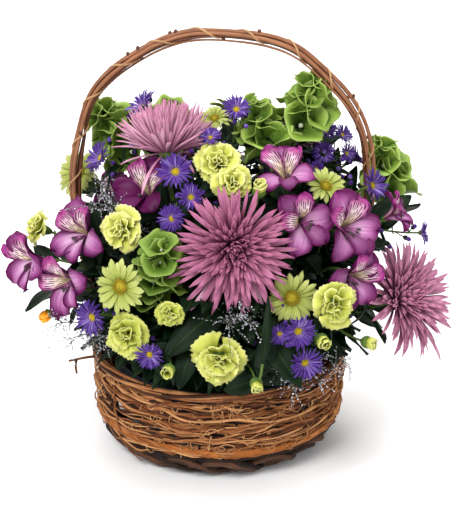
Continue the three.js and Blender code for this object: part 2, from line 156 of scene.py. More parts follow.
class Skin:
    """Gathers closed surfaces into one mesh. Each vertex keeps where it is across (-1 to 1) and along (0 to
    1) its petal, strand or leaf, that one's tone, from 0 to about 1, and its zone, a number whose meaning is
    the material's."""

    def __init__(self):
        self.points, self.looks, self.zones, self.faces, self.count = [], [], [], [], 0

    def add(self, points, across, along, tone, zone, faces):
        """points is (bodies, n, 3), across and along (n,), tone and zone (bodies,), faces a list of arrays
        of vertex numbers."""
        bodies, n = points.shape[:2]
        spread = lambda value, shape: np.broadcast_to(np.asarray(value, float).reshape(shape), (bodies, n))
        look = np.stack([spread(across, (1, n)), spread(along, (1, n)), spread(tone, (-1, 1))], -1)
        self.points.append(points.reshape(-1, 3))
        self.looks.append(look.reshape(-1, 3))
        self.zones.append(spread(zone, (-1, 1)).reshape(-1))
        for face in faces:
            start = self.count + np.arange(bodies)[:, None, None] * n
            self.faces.append((face[None] + start).reshape(-1, face.shape[1]))
        self.count += bodies * n

    def sheets(self, grid, thickness, tone=0.5, zone=0.0, wrap=False):
        """Thin closed sheets round grids of points, (sheets, along, across, 3). A wrapped one closes on
        itself."""
        _, n, m, _ = grid.shape
        lengthwise = np.gradient(grid, axis=1)
        crosswise = np.roll(grid, -1, 2) - np.roll(grid, 1, 2) if wrap else np.gradient(grid, axis=2)
        face = unit(np.cross(crosswise, lengthwise))
        both = np.stack([grid + face * thickness / 2, grid - face * thickness / 2], 1)
        ids = np.arange(2 * n * m).reshape(2, n, m)
        if wrap:
            ids = np.concatenate([ids, ids[:, :, :1]], 2)
        top, low = ids
        strip = lambda a, b: quads(a[:-1], a[1:], b[1:], b[:-1])
        faces = [
            quads(top[:-1, :-1], top[:-1, 1:], top[1:, 1:], top[1:, :-1]),
            quads(low[1:, :-1], low[1:, 1:], low[:-1, 1:], low[:-1, :-1]),
            strip(low[0], top[0]),
            strip(top[-1], low[-1]),
        ]
        if not wrap:
            faces += [strip(low[:, -1], top[:, -1]), strip(top[:, 0], low[:, 0])]
        across = np.broadcast_to(np.linspace(-1, 1, m, endpoint=not wrap), (2, n, m)).reshape(-1)
        along = np.broadcast_to(np.linspace(0, 1, n)[:, None], (2, n, m)).reshape(-1)
        self.add(both.reshape(len(grid), -1, 3), across, along, tone, zone, faces)

    def tubes(self, path, wide, thick=None, sides=6, tone=0.5, zone=0.0, side=None):
        """Closed tubes along paths, (tubes, stations, 3), with half sizes of (tubes, stations)."""
        path = np.asarray(path, float)
        count, n, _ = path.shape
        half_size = lambda value: np.broadcast_to(np.asarray(value, float), (count, n))[..., None, None]
        lengthwise = unit(np.gradient(path, axis=1))
        if side is None:
            side = any_side(path[:, -1:] - path[:, :1] + 1e-9)
        side = unit(side - (side * lengthwise).sum(-1, keepdims=True) * lengthwise)
        face = np.cross(lengthwise, side)
        turn = np.arange(sides) / sides * FULL_TURN
        ring = half_size(wide) * np.cos(turn)[:, None] * side[:, :, None]
        ring = ring + half_size(wide if thick is None else thick) * np.sin(turn)[:, None] * face[:, :, None]
        ids = np.arange(n * sides).reshape(n, sides)
        loop = np.concatenate([ids, ids[:, :1]], 1)
        body = quads(loop[:-1, :-1], loop[:-1, 1:], loop[1:, 1:], loop[1:, :-1])
        across = np.broadcast_to(np.cos(turn), (n, sides)).reshape(-1)
        along = np.broadcast_to(np.linspace(0, 1, n)[:, None], (n, sides)).reshape(-1)
        points = (path[:, :, None] + ring).reshape(count, -1, 3)
        self.add(points, across, along, tone, zone, [body, ids[:1, ::-1], ids[-1:]])

    def tube(self, path, wide, thick=None, **looks):
        """One closed tube along a path. Two half sizes are those at its start and end."""
        if isinstance(wide, tuple):
            wide = np.linspace(*wide, len(path))
        self.tubes(path[None], wide, thick, **looks)


def piece(name, skin, paint, slot, *nodes):
    """Makes a skin into a shown piece, which stands for CAD nodes and rides on the model's one body."""
    mesh = bpy.data.meshes.new(name)
    faces = [face for block in skin.faces for face in block.tolist()]
    mesh.from_pydata(np.concatenate(skin.points).tolist(), [], faces)
    look = mesh.attributes.new("look", "FLOAT_VECTOR", "POINT")
    look.data.foreach_set("vector", np.concatenate(skin.looks).ravel())
    zone = mesh.attributes.new("zone", "FLOAT", "POINT")
    zone.data.foreach_set("value", np.concatenate(skin.zones))
    mesh.polygons.foreach_set("use_smooth", np.ones(len(mesh.polygons), bool))
    mesh.materials.append(paint)
    made = bpy.data.objects.new(name, mesh)
    bpy.context.scene.collection.objects.link(made)
    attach(made, "root")
    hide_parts(*nodes)


# ---------------------------------------------------------------- reading the CAD solids


def kind_of(node):
    return node.split("_")[0]


def nodes_of(kind):
    """The names of the CAD nodes of a kind."""
    return sorted(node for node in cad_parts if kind_of(node) == kind)


def welded(node):
    """A CAD node's points and triangles, with equal corners made one."""
    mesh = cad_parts[node].data
    coordinates = np.empty(len(mesh.vertices) * 3, np.float32)
    mesh.vertices.foreach_get("co", coordinates)
    mesh.calc_loop_triangles()
    corners = np.empty(len(mesh.loop_triangles) * 3, np.int32)
    mesh.loop_triangles.foreach_get("vertices", corners)
    keys = np.round(coordinates.reshape(-1, 3) / (WELD * MM)).astype(np.int64)
    keys, back = np.unique(keys, axis=0, return_inverse=True)
    return keys * WELD * MM, back.reshape(-1)[corners].reshape(-1, 3)


def flat_faces(node):
    """A CAD node's flat faces of four triangles or more, largest first: the size, middle, outward normal,
    reach, roundness (how much of the circle of its reach it fills) and corners of each."""
    points, triangles = welded(node)
    a, b, c = points[triangles].transpose(1, 0, 2)
    cross = np.cross(b - a, c - a)
    area = np.linalg.norm(cross, axis=1) / 2
    normal = unit(cross)
    group = list(range(len(triangles)))

    def leader(i):
        while group[i] != i:
            i = group[i]
        return i

    owner = {}
    for i, (p, q, r) in enumerate(triangles.tolist()):
        for edge in ((p, q), (q, r), (r, p)):
            other = owner.setdefault(frozenset(edge), i)
            if other != i and normal[i] @ normal[other] > FLAT:
                group[leader(i)] = leader(other)
    sets = {}
    for i in range(len(triangles)):
        sets.setdefault(leader(i), []).append(i)
    found = []
    for members in sets.values():
        size = area[members].sum()
        if len(members) < 4 or size < LEAST_FACE:
            continue
        middle = (points[triangles[members]].mean(1) * area[members, None]).sum(0) / size
        corners = points[np.unique(triangles[members])]
        reach = np.linalg.norm(corners - middle, axis=1).max()
        found.append((size, middle, normal[members[0]], reach, size / (math.pi * reach**2), corners))
    return sorted(found, key=lambda face: -face[0])


def foot_of(node):
    """Where a node's stem is cut, inside the foam, and the way it leaves."""
    points, _ = welded(node)
    cut = np.argsort(np.linalg.norm(points - STEM_FOCUS, axis=1))[:5]
    foot = points[cut].mean(0)
    return foot, unit(foot - STEM_FOCUS)


def stem_to(node, end, arriving, count):
    """The path of a node's stem, from its cut foot to a point that it reaches along a direction."""
    return bend(*foot_of(node), end, arriving, count)


def rings_of(node, apart):
    """The centreline of a CAD rod: the middles of its rings of corners, in order from its lower left end."""
    points, _ = welded(node)
    rings = []
    for point in points:
        ring = next((r for r in rings if np.linalg.norm(r[0] - point) < apart), None)
        if ring is None:
            rings.append([point])
        else:
            ring.append(point)
    left = [np.mean(ring, axis=0) for ring in rings]
    line = [left.pop(min(range(len(left)), key=lambda i: left[i][2] + left[i][0]))]
    while left:
        line.append(left.pop(min(range(len(left)), key=lambda i: np.linalg.norm(left[i] - line[-1]))))
    return np.array(line)


class Bloom:
    """Where a bloom is: its radius, the point where its stem meets it, and its right, up and outward axes."""

    def __init__(self, face, front_share, depth_share):
        _, middle, normal, reach, _, _ = face
        self.radius = reach / front_share
        self.back = middle - normal * self.radius * depth_share
        self.axes = axes_facing(normal)

    def out(self):
        return self.axes[2]

    def place(self, local):
        return self.back + local @ self.axes


def blooms_of(node, front_share, depth_share, roundness=0.6):
    """A spray's blooms, largest first. Their solids' fronts are its only flat faces that are nearly round."""
    return [Bloom(face, front_share, depth_share) for face in flat_faces(node) if face[4] > roundness]


# ---------------------------------------------------------------- materials


def srgb(red, green, blue):
    """A colour given from 0 to 255, as Blender's linear numbers. The curve is that of the sRGB standard."""
    linear = [((c / 255 + 0.055) / 1.055) ** 2.4 if c > 10 else c / 255 / 12.92 for c in (red, green, blue)]
    return (*linear, 1.0)


class Paint:
    """A material under construction: short names for its nodes."""

    shine = 0.18  # the specular level of a material that doesn't set its own
    tone_shift = 37.0  # how far apart in a texture the tones 0 and 1 lie

    def __init__(self, name, roughness, **fixed):
        self.material = bpy.data.materials.new(name)
        self.material.use_nodes = True
        self.tree = self.material.node_tree
        self.shader = self.tree.nodes["Principled BSDF"]
        self.shader.inputs["Roughness"].default_value = roughness
        self.shader.inputs["Specular IOR Level"].default_value = self.shine
        for socket, value in fixed.items():
            self.shader.inputs[socket.replace("_", " ")].default_value = value
        look = self.node("Attribute", attribute_name="look")
        parts = self.node("SeparateXYZ", {0: look.outputs["Vector"]})
        self.across, self.along, self.tone = parts.outputs
        self.zone = self.node("Attribute", attribute_name="zone").outputs["Fac"]
        self.place = self.node("TexCoord").outputs["Object"]

    def node(self, kind, inputs=None, **settings):
        made = self.tree.nodes.new("ShaderNode" + kind)
        for key, value in settings.items():
            setattr(made, key, value)
        for key, value in (inputs or {}).items():
            if isinstance(value, bpy.types.NodeSocket):
                self.tree.links.new(value, made.inputs[key])
            else:
                made.inputs[key].default_value = value
        return made

    def maths(self, operation, *values):
        return self.node("Math", dict(enumerate(values)), operation=operation).outputs[0]

    def remap(self, value, low, high, to_low=0.0, to_high=1.0):
        inputs = {"Value": value, "From Min": low, "From Max": high, "To Min": to_low, "To Max": to_high}
        return self.node("MapRange", inputs, clamp=True).outputs[0]

    def ramp(self, value, *stops):
        made = self.node("ValToRGB", {0: value})
        keys = made.color_ramp.elements
        while len(keys) < len(stops):
            keys.new(0.5)
        for key, (position, colour) in zip(keys, stops):
            key.position, key.color = position, colour
        return made.outputs[0]

    def mix(self, share, a, b):
        return self.node("Mix", {0: share, 6: a, 7: b}, data_type="RGBA").outputs[2]

    def tint(self, under, over, value, low, high, least=0.0, most=1.0):
        """Lays one colour over another: its least share where the value is low, its most where it is high."""
        return self.mix(self.remap(value, low, high, least, most), under, over)

    def stretched(self, across, along):
        """Coordinates that follow the petal or strand, with its tone as a shift so that no two are alike."""
        scaled = ((self.across, across), (self.along, along), (self.tone, self.tone_shift))
        inputs = {axis: self.maths("MULTIPLY", *pair) for axis, pair in enumerate(scaled)}
        return self.node("CombineXYZ", inputs).outputs[0]

    def noise(self, scale, vector=None, detail=3.0):
        inputs = {"Vector": vector or self.place, "Scale": scale, "Detail": detail}
        return self.node("TexNoise", inputs).outputs[0]

    def finish(self, colour, height, strength, distance=0.6 * MM):
        self.tree.links.new(colour, self.shader.inputs["Base Color"])
        bump = self.node("Bump", {"Height": height, "Strength": strength, "Distance": distance})
        self.tree.links.new(bump.outputs[0], self.shader.inputs["Normal"])
        return self.material


def paint_mum():
    """Zone is the petal's share of the way from the heart to the outermost ring, plus twice the bloom's
    paleness, which is 0, a half or 1."""
    p = Paint("mum_petal", 0.55, Subsurface_Weight=0.12, Subsurface_Radius=(0.004, 0.002, 0.003))
    pale = p.maths("MULTIPLY", p.maths("FLOOR", p.zone), 0.5)
    ring = p.maths("FRACT", p.zone)
    # Each of the three ramps below is darker at the petal roots (along 0): painted shade deep in the bloom,
    # where the petals crowd.
    outer = p.ramp(
        p.along,
        (0.0, srgb(104, 42, 74)),
        (0.4, srgb(147, 70, 106)),
        (0.85, srgb(176, 104, 138)),
        (1.0, srgb(152, 72, 110)),
    )
    # The heart's petals are a deeper magenta of their own, and darkest at the roots, which is painted shade.
    heart = p.ramp(p.along, (0.0, srgb(70, 18, 44)), (0.6, srgb(130, 54, 88)), (1.0, srgb(176, 100, 134)))
    colour = p.mix(p.remap(ring, 0.05, 0.45), heart, outer)
    light = p.ramp(
        p.along,
        (0.0, srgb(134, 68, 100)),
        (0.35, srgb(186, 124, 152)),
        (0.8, srgb(216, 168, 188)),
        (1.0, srgb(184, 112, 146)),
    )
    colour = p.mix(pale, colour, light)
    colour = p.tint(colour, srgb(138, 66, 100), p.tone, 0, 1, 0.0, 0.5)
    veins = p.noise(1.0, p.stretched(5.0, 1.6))
    colour = p.tint(colour, srgb(202, 148, 174), veins, 0.35, 0.7, 0.0, 0.4)
    return p.finish(colour, veins, 0.35)


def paint_alstroemeria():
    """Zone 0 is a broad outer petal, 1 a streaked inner one, 2 a plain inner one and 3 a stamen."""
    p = Paint("alstroemeria_petal", 0.5, Subsurface_Weight=0.04, Subsurface_Radius=(0.001, 0.001, 0.001))
    margin = p.maths("ABSOLUTE", p.across)
    dark = p.ramp(
        p.along,
        (0.0, srgb(54, 16, 44)),
        (0.35, srgb(90, 20, 74)),
        (0.8, srgb(78, 10, 64)),
        (1.0, srgb(52, 4, 42)),
    )
    light = p.ramp(
        p.along,
        (0.0, srgb(112, 62, 94)),
        (0.35, srgb(184, 124, 170)),
        (0.75, srgb(164, 92, 150)),
        (1.0, srgb(104, 16, 84)),
    )
    outer = p.mix(p.remap(p.tone, 0.1, 0.7), dark, light)
    outer = p.tint(outer, srgb(84, 6, 68), margin, 0.35, 0.9)
    flush = p.maths("MULTIPLY", p.remap(margin, 0.0, 0.7, 1.0, 0.0), p.remap(p.along, 0.85, 0.35))
    pale = p.remap(p.noise(1.0, p.stretched(1.2, 1.5)), 0.3, 0.6, 0.0, 0.9)
    pale = p.maths("MULTIPLY", pale, p.remap(p.tone, 0.1, 1.3, 0.0, 1.5))
    outer = p.mix(p.maths("MULTIPLY", pale, flush), outer, srgb(228, 194, 220))
    throat = p.ramp(
        p.along,
        (0.0, srgb(150, 134, 70)),
        (0.3, srgb(236, 222, 170)),
        (0.6, srgb(238, 212, 220)),
        (0.82, srgb(182, 86, 148)),
        (1.0, srgb(112, 16, 90)),
    )
    throat = p.tint(throat, srgb(142, 42, 116), margin, 0.45, 0.9, 0.0, 0.95)
    row = p.maths("MULTIPLY_ADD", p.across, 4.3, 20.5)
    row_number = p.maths("FLOOR", row)
    off_row = p.maths("ABSOLUTE", p.maths("SUBTRACT", p.maths("FRACT", row), 0.5))
    seed = p.node("CombineXYZ", {0: row_number, 1: p.tone}).outputs[0]
    shift = p.node("TexWhiteNoise", {"Vector": seed}, noise_dimensions="2D").outputs[0]
    dash = p.maths("FRACT", p.maths("MULTIPLY_ADD", p.along, 3.4, shift))
    dash = p.maths("ABSOLUTE", p.maths("SUBTRACT", dash, 0.5))
    dash = p.maths("MULTIPLY", p.remap(dash, 0.32, 0.4, 1.0, 0.0), p.remap(off_row, 0.17, 0.3, 1.0, 0.0))
    reach = p.maths("MULTIPLY", p.remap(p.along, 0.16, 0.24), p.remap(p.along, 0.78, 0.86, 1.0, 0.0))
    dash = p.maths("MULTIPLY", dash, reach)
    inner = p.maths("COMPARE", p.zone, 1.0, 0.2)
    colour = p.mix(inner, outer, throat)
    colour = p.mix(p.maths("MULTIPLY", dash, inner), colour, srgb(46, 4, 26))
    stamen = p.ramp(p.along, (0.0, srgb(190, 120, 180)), (0.8, srgb(170, 80, 150)), (0.86, srgb(66, 64, 60)))
    colour = p.mix(p.maths("COMPARE", p.zone, 3.0, 0.2), colour, stamen)
    veins = p.noise(1.0, p.stretched(13.0, 1.0))
    colour = p.tint(colour, srgb(98, 16, 80), veins, 0.42, 0.68, 0.0, 0.45)
    return p.finish(colour, veins, 0.35)


def paint_carnation():
    p = Paint("carnation_petal", 0.6, Subsurface_Weight=0.12, Subsurface_Radius=(0.003, 0.004, 0.001))
    colour = p.ramp(
        p.along,
        (0.0, srgb(118, 130, 40)),
        (0.5, srgb(176, 182, 74)),
        (0.88, srgb(201, 201, 106)),
        (1.0, srgb(222, 219, 156)),
    )
    colour = p.tint(colour, srgb(158, 168, 60), p.tone, 0.0, 1.6, 0.0, 0.75)
    veins = p.noise(1.0, p.stretched(14.0, 1.5))
    colour = p.tint(colour, srgb(166, 170, 70), veins, 0.4, 0.7, 0.0, 0.3)
    return p.finish(colour, veins, 0.3)


def paint_daisy():
    p = Paint("daisy_petal", 0.55, Subsurface_Weight=0.1, Subsurface_Radius=(0.003, 0.004, 0.001))
    root, middle, tip = srgb(100, 112, 34), srgb(158, 165, 80), srgb(190, 194, 124)
    colour = p.ramp(p.along, (0.0, root), (0.35, middle), (1.0, tip))
    colour = p.tint(colour, srgb(136, 149, 66), p.tone, 0, 1, 0.0, 0.45)
    grooves = p.maths("ABSOLUTE", p.maths("SINE", p.maths("MULTIPLY", p.across, 5.0)))
    # The grooves are painted darker green: painted shade in the creases, over the bump that also draws them.
    colour = p.tint(colour, srgb(122, 136, 56), grooves, 0.0, 0.5, 0.5, 0.0)
    return p.finish(colour, grooves, 0.5)


def paint_aster():
    p = Paint("aster_petal", 0.5, Subsurface_Weight=0.08, Subsurface_Radius=(0.002, 0.002, 0.005))
    colour = p.ramp(p.along, (0.0, srgb(160, 142, 186)), (0.3, srgb(82, 44, 134)), (1.0, srgb(50, 16, 104)))
    colour = p.tint(colour, srgb(104, 72, 158), p.tone, 0, 1, 0.0, 0.6)
    faded = p.maths("MULTIPLY", p.remap(p.tone, 0.7, 0.95), p.remap(p.along, 0.9, 0.4))
    colour = p.mix(p.maths("MULTIPLY", faded, 0.7), colour, srgb(164, 144, 204))
    veins = p.noise(1.0, p.stretched(4.0, 1.2))
    colour = p.tint(colour, srgb(38, 10, 76), veins, 0.4, 0.7, 0.0, 0.4)
    return p.finish(colour, veins, 0.25)


def paint_heart(name, middle, rim):
    """The heart of a daisy. Zone is a floret's share of the way from the middle of the heart to its rim."""
    p = Paint(name, 0.7)
    colour = p.ramp(p.zone, (0.0, middle), (0.6, rim), (1.0, rim))
    # Each floret is painted darker towards its foot: painted shade between the packed florets.
    colour = p.tint(colour, srgb(92, 74, 16), p.along, 0.2, 1.0, 0.55, 0.0)
    return p.finish(colour, p.noise(900.0), 0.3)


def paint_bell():
    """Zone 0 is a cup and 1 the small pale flower inside."""
    p = Paint("bell_calyx", 0.45, Subsurface_Weight=0.12, Subsurface_Radius=(0.002, 0.004, 0.001))
    colour = p.ramp(
        p.along,
        (0.0, srgb(42, 68, 22)),
        (0.45, srgb(86, 120, 40)),
        (0.9, srgb(132, 160, 64)),
        (1.0, srgb(158, 178, 94)),
    )
    ribs = p.maths("ABSOLUTE", p.maths("SINE", p.maths("MULTIPLY", p.across, 5 * math.pi)))
    cells = {"Vector": p.stretched(9.0, 5.0), "Scale": 1.0}
    net = p.node("TexVoronoi", cells, feature="DISTANCE_TO_EDGE").outputs[0]
    vein = p.maths("MAXIMUM", p.remap(net, 0.0, 0.07, 0.7, 0.0), p.remap(ribs, 0.0, 0.14, 1.0, 0.0))
    colour = p.mix(p.maths("MULTIPLY", vein, 0.35), colour, srgb(160, 178, 102))
    colour = p.tint(colour, srgb(66, 94, 26), p.tone, 0.0, 1.4, 0.0, 0.7)
    colour = p.mix(p.zone, colour, srgb(226, 232, 204))
    return p.finish(colour, vein, 0.3)


def paint_green(name, leaf, shade, vein_colour):
    """Zone 0 is a leaf, 1 a stem, calyx or bud scale."""
    p = Paint(name, 0.55, Specular_IOR_Level=0.13)
    colour = p.mix(p.noise(60.0), leaf, shade)
    colour = p.tint(colour, shade, p.tone, 0, 1, 0.0, 0.6)
    margin = p.maths("ABSOLUTE", p.across)
    slant = p.maths("MULTIPLY_ADD", margin, -0.35, p.along)
    ribs = p.maths("ABSOLUTE", p.maths("SINE", p.maths("MULTIPLY", slant, 30.0)))
    vein = p.maths("MAXIMUM", p.remap(margin, 0.0, 0.1, 1.0, 0.0), p.remap(ribs, 0.0, 0.2, 0.4, 0.0))
    vein = p.maths("MULTIPLY", vein, p.remap(p.zone, 0.0, 1.0, 1.0, 0.0))
    colour = p.mix(p.maths("MULTIPLY", vein, 0.4), colour, vein_colour)
    stem = p.mix(p.noise(1.0, p.stretched(6.0, 20.0)), srgb(50, 76, 30), srgb(96, 120, 54))
    colour = p.tint(colour, stem, p.zone, 0.0, 1.0)
    return p.finish(colour, vein, 0.3)


def paint_limonium():
    """Zone 0 is a twig and 1 a floret."""
    p = Paint("limonium_floret", 0.7)
    floret = p.mix(p.tone, srgb(204, 202, 206), srgb(128, 124, 140))
    twig = p.mix(p.tone, srgb(74, 82, 64), srgb(40, 48, 38))
    return p.finish(p.mix(p.zone, twig, floret), p.noise(800.0), 0.2)


def paint_bark(name, dark, middle, light, roughness=0.75, ridge=0.8, shine=0.2):
    """Vine bark: streaks along the strand, and each strand its own tone."""
    p = Paint(name, roughness, Specular_IOR_Level=shine)
    streaks = p.noise(1.0, p.stretched(3.0, 26.0), 5.0)
    patches = p.noise(55.0, None, 4.0)
    mixed = p.maths("ADD", p.maths("MULTIPLY", streaks, 0.5), p.maths("MULTIPLY", p.tone, 0.8))
    mixed = p.maths("MULTIPLY_ADD", patches, 0.4, p.maths("SUBTRACT", mixed, 0.38))
    colour = p.ramp(mixed, (0.15, dark), (0.5, middle), (0.9, light))
    fibre = p.noise(1.0, p.stretched(9.0, 60.0), 4.0)
    colour = p.tint(colour, dark, fibre, 0.45, 0.7, 0.0, 0.35)
    height = p.maths("ADD", p.maths("MULTIPLY", fibre, 0.6), streaks)
    return p.finish(colour, height, ridge, 0.8 * MM)


def paint_dish():
    p = Paint("dish_plastic", 0.35, Specular_IOR_Level=0.5)
    return p.finish(p.mix(p.noise(30.0), srgb(26, 36, 48), srgb(38, 50, 64)), p.noise(400.0), 0.05)


def paint_foam():
    p = Paint("wet_foam", 0.9)
    cells = p.node("TexVoronoi", {"Vector": p.place, "Scale": 900.0}, feature="F1").outputs["Distance"]
    colour = p.mix(p.noise(50.0), srgb(22, 60, 36), srgb(36, 84, 50))
    # Each cell is painted darker at its middle: painted shade in the foam's pores.
    return p.finish(p.mix(p.remap(cells, 0.0, 0.5, 0.6, 0.0), colour, srgb(10, 30, 18)), cells, 0.6)


def paint_bud():
    p = Paint("orange_bud", 0.5)
    colour = p.ramp(p.along, (0.0, srgb(206, 110, 20)), (0.5, srgb(244, 158, 30)), (1.0, srgb(250, 186, 62)))
    return p.finish(colour, p.noise(1.0, p.stretched(6.0, 2.0)), 0.3)


# ---------------------------------------------------------------- petals and leaves


def petals(skin, bloom, turns, reach, rise, half_width, cup, thickness, tone, zone=0.0, across=5, ruffle=0.0,
           sway=0.0):
    """Thin petals that spread from a bloom's axis. turns is (petals,); reach, rise and half_width are
    (petals, stations): how far out, how far forward and how wide. cup lifts the margins towards the front."""
    v = np.linspace(-1, 1, across)
    radial = np.stack([np.cos(turns), np.sin(turns), np.zeros_like(turns)], -1)[:, None]
    side = np.stack([-np.sin(turns), np.cos(turns), np.zeros_like(turns)], -1)[:, None]
    middle = reach[..., None] * radial + rise[..., None] * UP + np.asarray(sway)[..., None] * side
    d_reach, d_rise = np.gradient(reach, axis=1), np.gradient(rise, axis=1)
    face = unit(d_reach[..., None] * UP - d_rise[..., None] * radial)
    lift = cup * half_width[..., None] * v**2 + ruffle
    grid = middle[:, :, None] + side[:, :, None] * (half_width[..., None] * v)[..., None]
    grid = grid + face[:, :, None] * lift[..., None]
    skin.sheets(bloom.place(grid), thickness, tone, zone)


def leaning(radius, start, lean_from, lean_to, length, stations, curl=1.3):
    """Reach and rise of petals that start at `start`, lean from one angle off the axis to another, and are so
    long."""
    u = np.linspace(0, 1, stations)
    lean = lean_from[:, None] + (lean_to - lean_from)[:, None] * u**curl
    step = length[:, None] / (stations - 1)
    go = lambda wave: np.concatenate([np.zeros((len(length), 1)), np.cumsum(wave[:, :-1] * step, 1)], 1)
    reach = start[0][:, None] * radius + go(np.sin(lean)) * radius
    rise = start[1][:, None] * radius + go(np.cos(lean)) * radius
    return reach, rise


def mum(skin, bloom, rng, count, deep=0, pale=0, broad=1):
    """A spider chrysanthemum: rings of long channelled petals, short and incurved at the heart of a flat one.
    How deep it is goes from 0, flat, to 1, a bowl of petals that are all long."""
    stations = 8
    share = (np.arange(count) + 0.5) / count
    turns = np.arange(count) * GOLDEN_ANGLE + rng.normal(0, 0.08, count)
    knots = [0, 0.12, 0.35, 0.65, 0.88, 1]
    between = lambda flat, bowl: np.interp(share, knots, np.array(flat) * (1 - deep) + np.array(bowl) * deep)
    lean_from = np.radians(between([0, 10, 26, 44, 58, 66], [2, 14, 30, 46, 60, 74]))
    lean_to = np.radians(between([-50, -22, 22, 62, 88, 104], [-10, -4, 8, 22, 46, 96]))
    length = between([0.40, 0.50, 0.68, 0.88, 1.0, 1.06], [0.98, 1.02, 1.07, 1.10, 1.12, 1.06])
    # The lower petals hang, as far as the bloom faces sideways.
    hang = np.maximum(-np.sin(turns), 0) * (1 - abs(bloom.out()[2])) * share**2
    lean_to = lean_to + rng.normal(0, np.radians(9), count) + hang * 0.35
    length = length * (scatter(rng, 0.07, count) + 0.14 * hang)
    start = 0.13 * np.sqrt(share), 0.10 + 0.05 * (1 - share)
    reach, rise = leaning(bloom.radius, start, lean_from, lean_to, length, stations)
    u = np.linspace(0, 1, stations)
    shape = np.interp(u, [0, 0.15, 0.5, 0.8, 0.93, 1], [0.35, 0.5, 0.88, 1.0, 0.7, 0.1])
    widest = broad * bloom.radius * np.interp(share, [0, 0.3, 1], [0.022, 0.032, 0.040])
    widest = widest * scatter(rng, 0.18, count)
    sway = bloom.radius * rng.normal(0, 0.06, count)[:, None] * u**2
    tone = rng.uniform(0, 1, count)
    half_width, zone = widest[:, None] * shape, np.clip(share, 0, 0.99) + round(2 * pale)
    petals(skin, bloom, turns, reach, rise, half_width, 0.75, 0.45 * MM, tone, zone, 3, 0.0, sway)


# How deep and how pale a mum is and how broad its petals are. The others are flat, dark and narrow.
MUM_LOOKS = {
    "mum_top_left": dict(deep=1, pale=1, broad=1),
    "mum_right": dict(deep=0.2, pale=0.5, broad=1.3),
}

# Long petals that have dropped out of a mum: the way round and the lean at the root and at the tip, in
# degrees, and the length as a share of the bloom's radius.
STRAYS = {
    "mum_top_left": [(52, 112, 152, 1.35), (14, 92, 112, 1.0), (118, 100, 145, 0.95), (156, 88, 112, 0.95)],
    "mum_center": [(-64, 70, 120, 1.15), (-80, 70, 140, 1.0), (-125, 70, 105, 1.3)],
    "mum_right": [(-75, 70, 108, 1.5), (-112, 60, 130, 1.1), (-95, 60, 110, 1.2)],
}


def stray_petals(skin, bloom, rows, rng):
    turn, lean_from, lean_to, length = np.array(rows, float).T
    lean_from, lean_to = np.radians(lean_from), np.radians(lean_to)
    count, stations = len(turn), 12
    start = np.full(count, 0.1), np.full(count, 0.1)
    reach, rise = leaning(bloom.radius, start, lean_from, lean_to, length, stations)
    shape = np.interp(np.linspace(0, 1, stations), [0, 0.5, 0.85, 1], [0.4, 0.8, 1.0, 0.15])
    half_width = np.repeat((shape * bloom.radius * 0.042)[None], count, 0)
    tone, zone = rng.uniform(0, 0.5, count), 2.9
    petals(skin, bloom, np.radians(turn), reach, rise, half_width, 0.7, 0.5 * MM, tone, zone, 3)


def alstroemeria(skin, bloom, rng, tones, turned):
    """A funnel of three broad outer petals and three narrow inner ones, two of them streaked, and stamens."""
    r = bloom.radius
    u = np.linspace(0, 1, 13)
    v = np.linspace(-1, 1, 9)
    first = math.pi / 2 + turned + rng.normal(0, 0.38)
    broad = np.interp(u, [0, 0.2, 0.45, 0.68, 0.84, 0.94, 1], [0.22, 0.46, 0.86, 1.0, 0.82, 0.48, 0.05])
    narrow = np.interp(u, [0, 0.25, 0.5, 0.76, 0.9, 1], [0.2, 0.42, 0.8, 1.0, 0.66, 0.08])
    spread = math.radians(38)
    outer, inner = first + np.arange(3) * FULL_TURN / 3, first + np.array([spread, math.pi, -spread])
    for turns, zone, reach_to, rise_from, rise_to, width, shape, cup in (
        (outer, [0.0] * 3, 1.06, 1.0, 0.72, 0.45, broad, 0.16),
        (inner, [1.0, 2.0, 1.0], 0.92, 1.1, 0.92, 0.33, narrow, 0.3),
    ):
        reach = r * scatter(rng, 0.06, (3, 1)) * bezier(u, 0.05, 0.08, 0.6, reach_to)
        rise = r * bezier(u, 0.0, 0.62, rise_from, rise_to) * scatter(rng, 0.05, (3, 1))
        phase = rng.uniform(0, FULL_TURN, (2, 3, 1, 1))
        waves = np.sin(4.5 * v + phase[0] + 5 * u[None, :, None]) * np.abs(v) ** 1.5
        waves = waves + 0.6 * np.sin(11 * u[None, :, None] + phase[1]) * np.sign(v) * v**2
        waves = r * width * 0.34 * waves * u[None, :, None]
        half_width = np.repeat(r * width * shape[None], 3, 0)
        tone, zone = rng.uniform(*tones, 3), np.array(zone)
        petals(skin, bloom, turns, reach, rise, half_width, cup, 0.5 * MM, tone, zone, len(v), waves)
    count = 6
    turns = first + math.pi + rng.uniform(-1.1, 1.1, count)
    s = np.linspace(0, 1, 9)
    reach = r * bezier(s, 0.03, 0.05, 0.08, 0.24)[None] * rng.uniform(0.6, 1.3, (count, 1))
    rise = r * bezier(s, 0.1, 0.45, 0.75, 0.86)[None] * rng.uniform(0.8, 1.0, (count, 1))
    stamens = bloom.place(polar(reach, turns[:, None], rise))
    wide = r * np.where(s > 0.86, 0.034, 0.014)
    skin.tubes(stamens, wide, sides=5, tone=rng.uniform(0, 1, count), zone=3.0)


# A carnation's rings of petals, from the outside in: how many, the half angle that each one fans over and its
# lean at the root and at the edge, in degrees, and its length as a share of the bloom's radius.
CARNATION_RINGS = [(5, 50, 34, 112, 1.08), (5, 48, 22, 80, 1.0), (4, 60, 10, 46, 0.92), (3, 80, 0, 18, 0.84)]
BUD_RINGS = [(5, 52, 46, -14, 1.45), (4, 60, 24, -10, 1.5)]


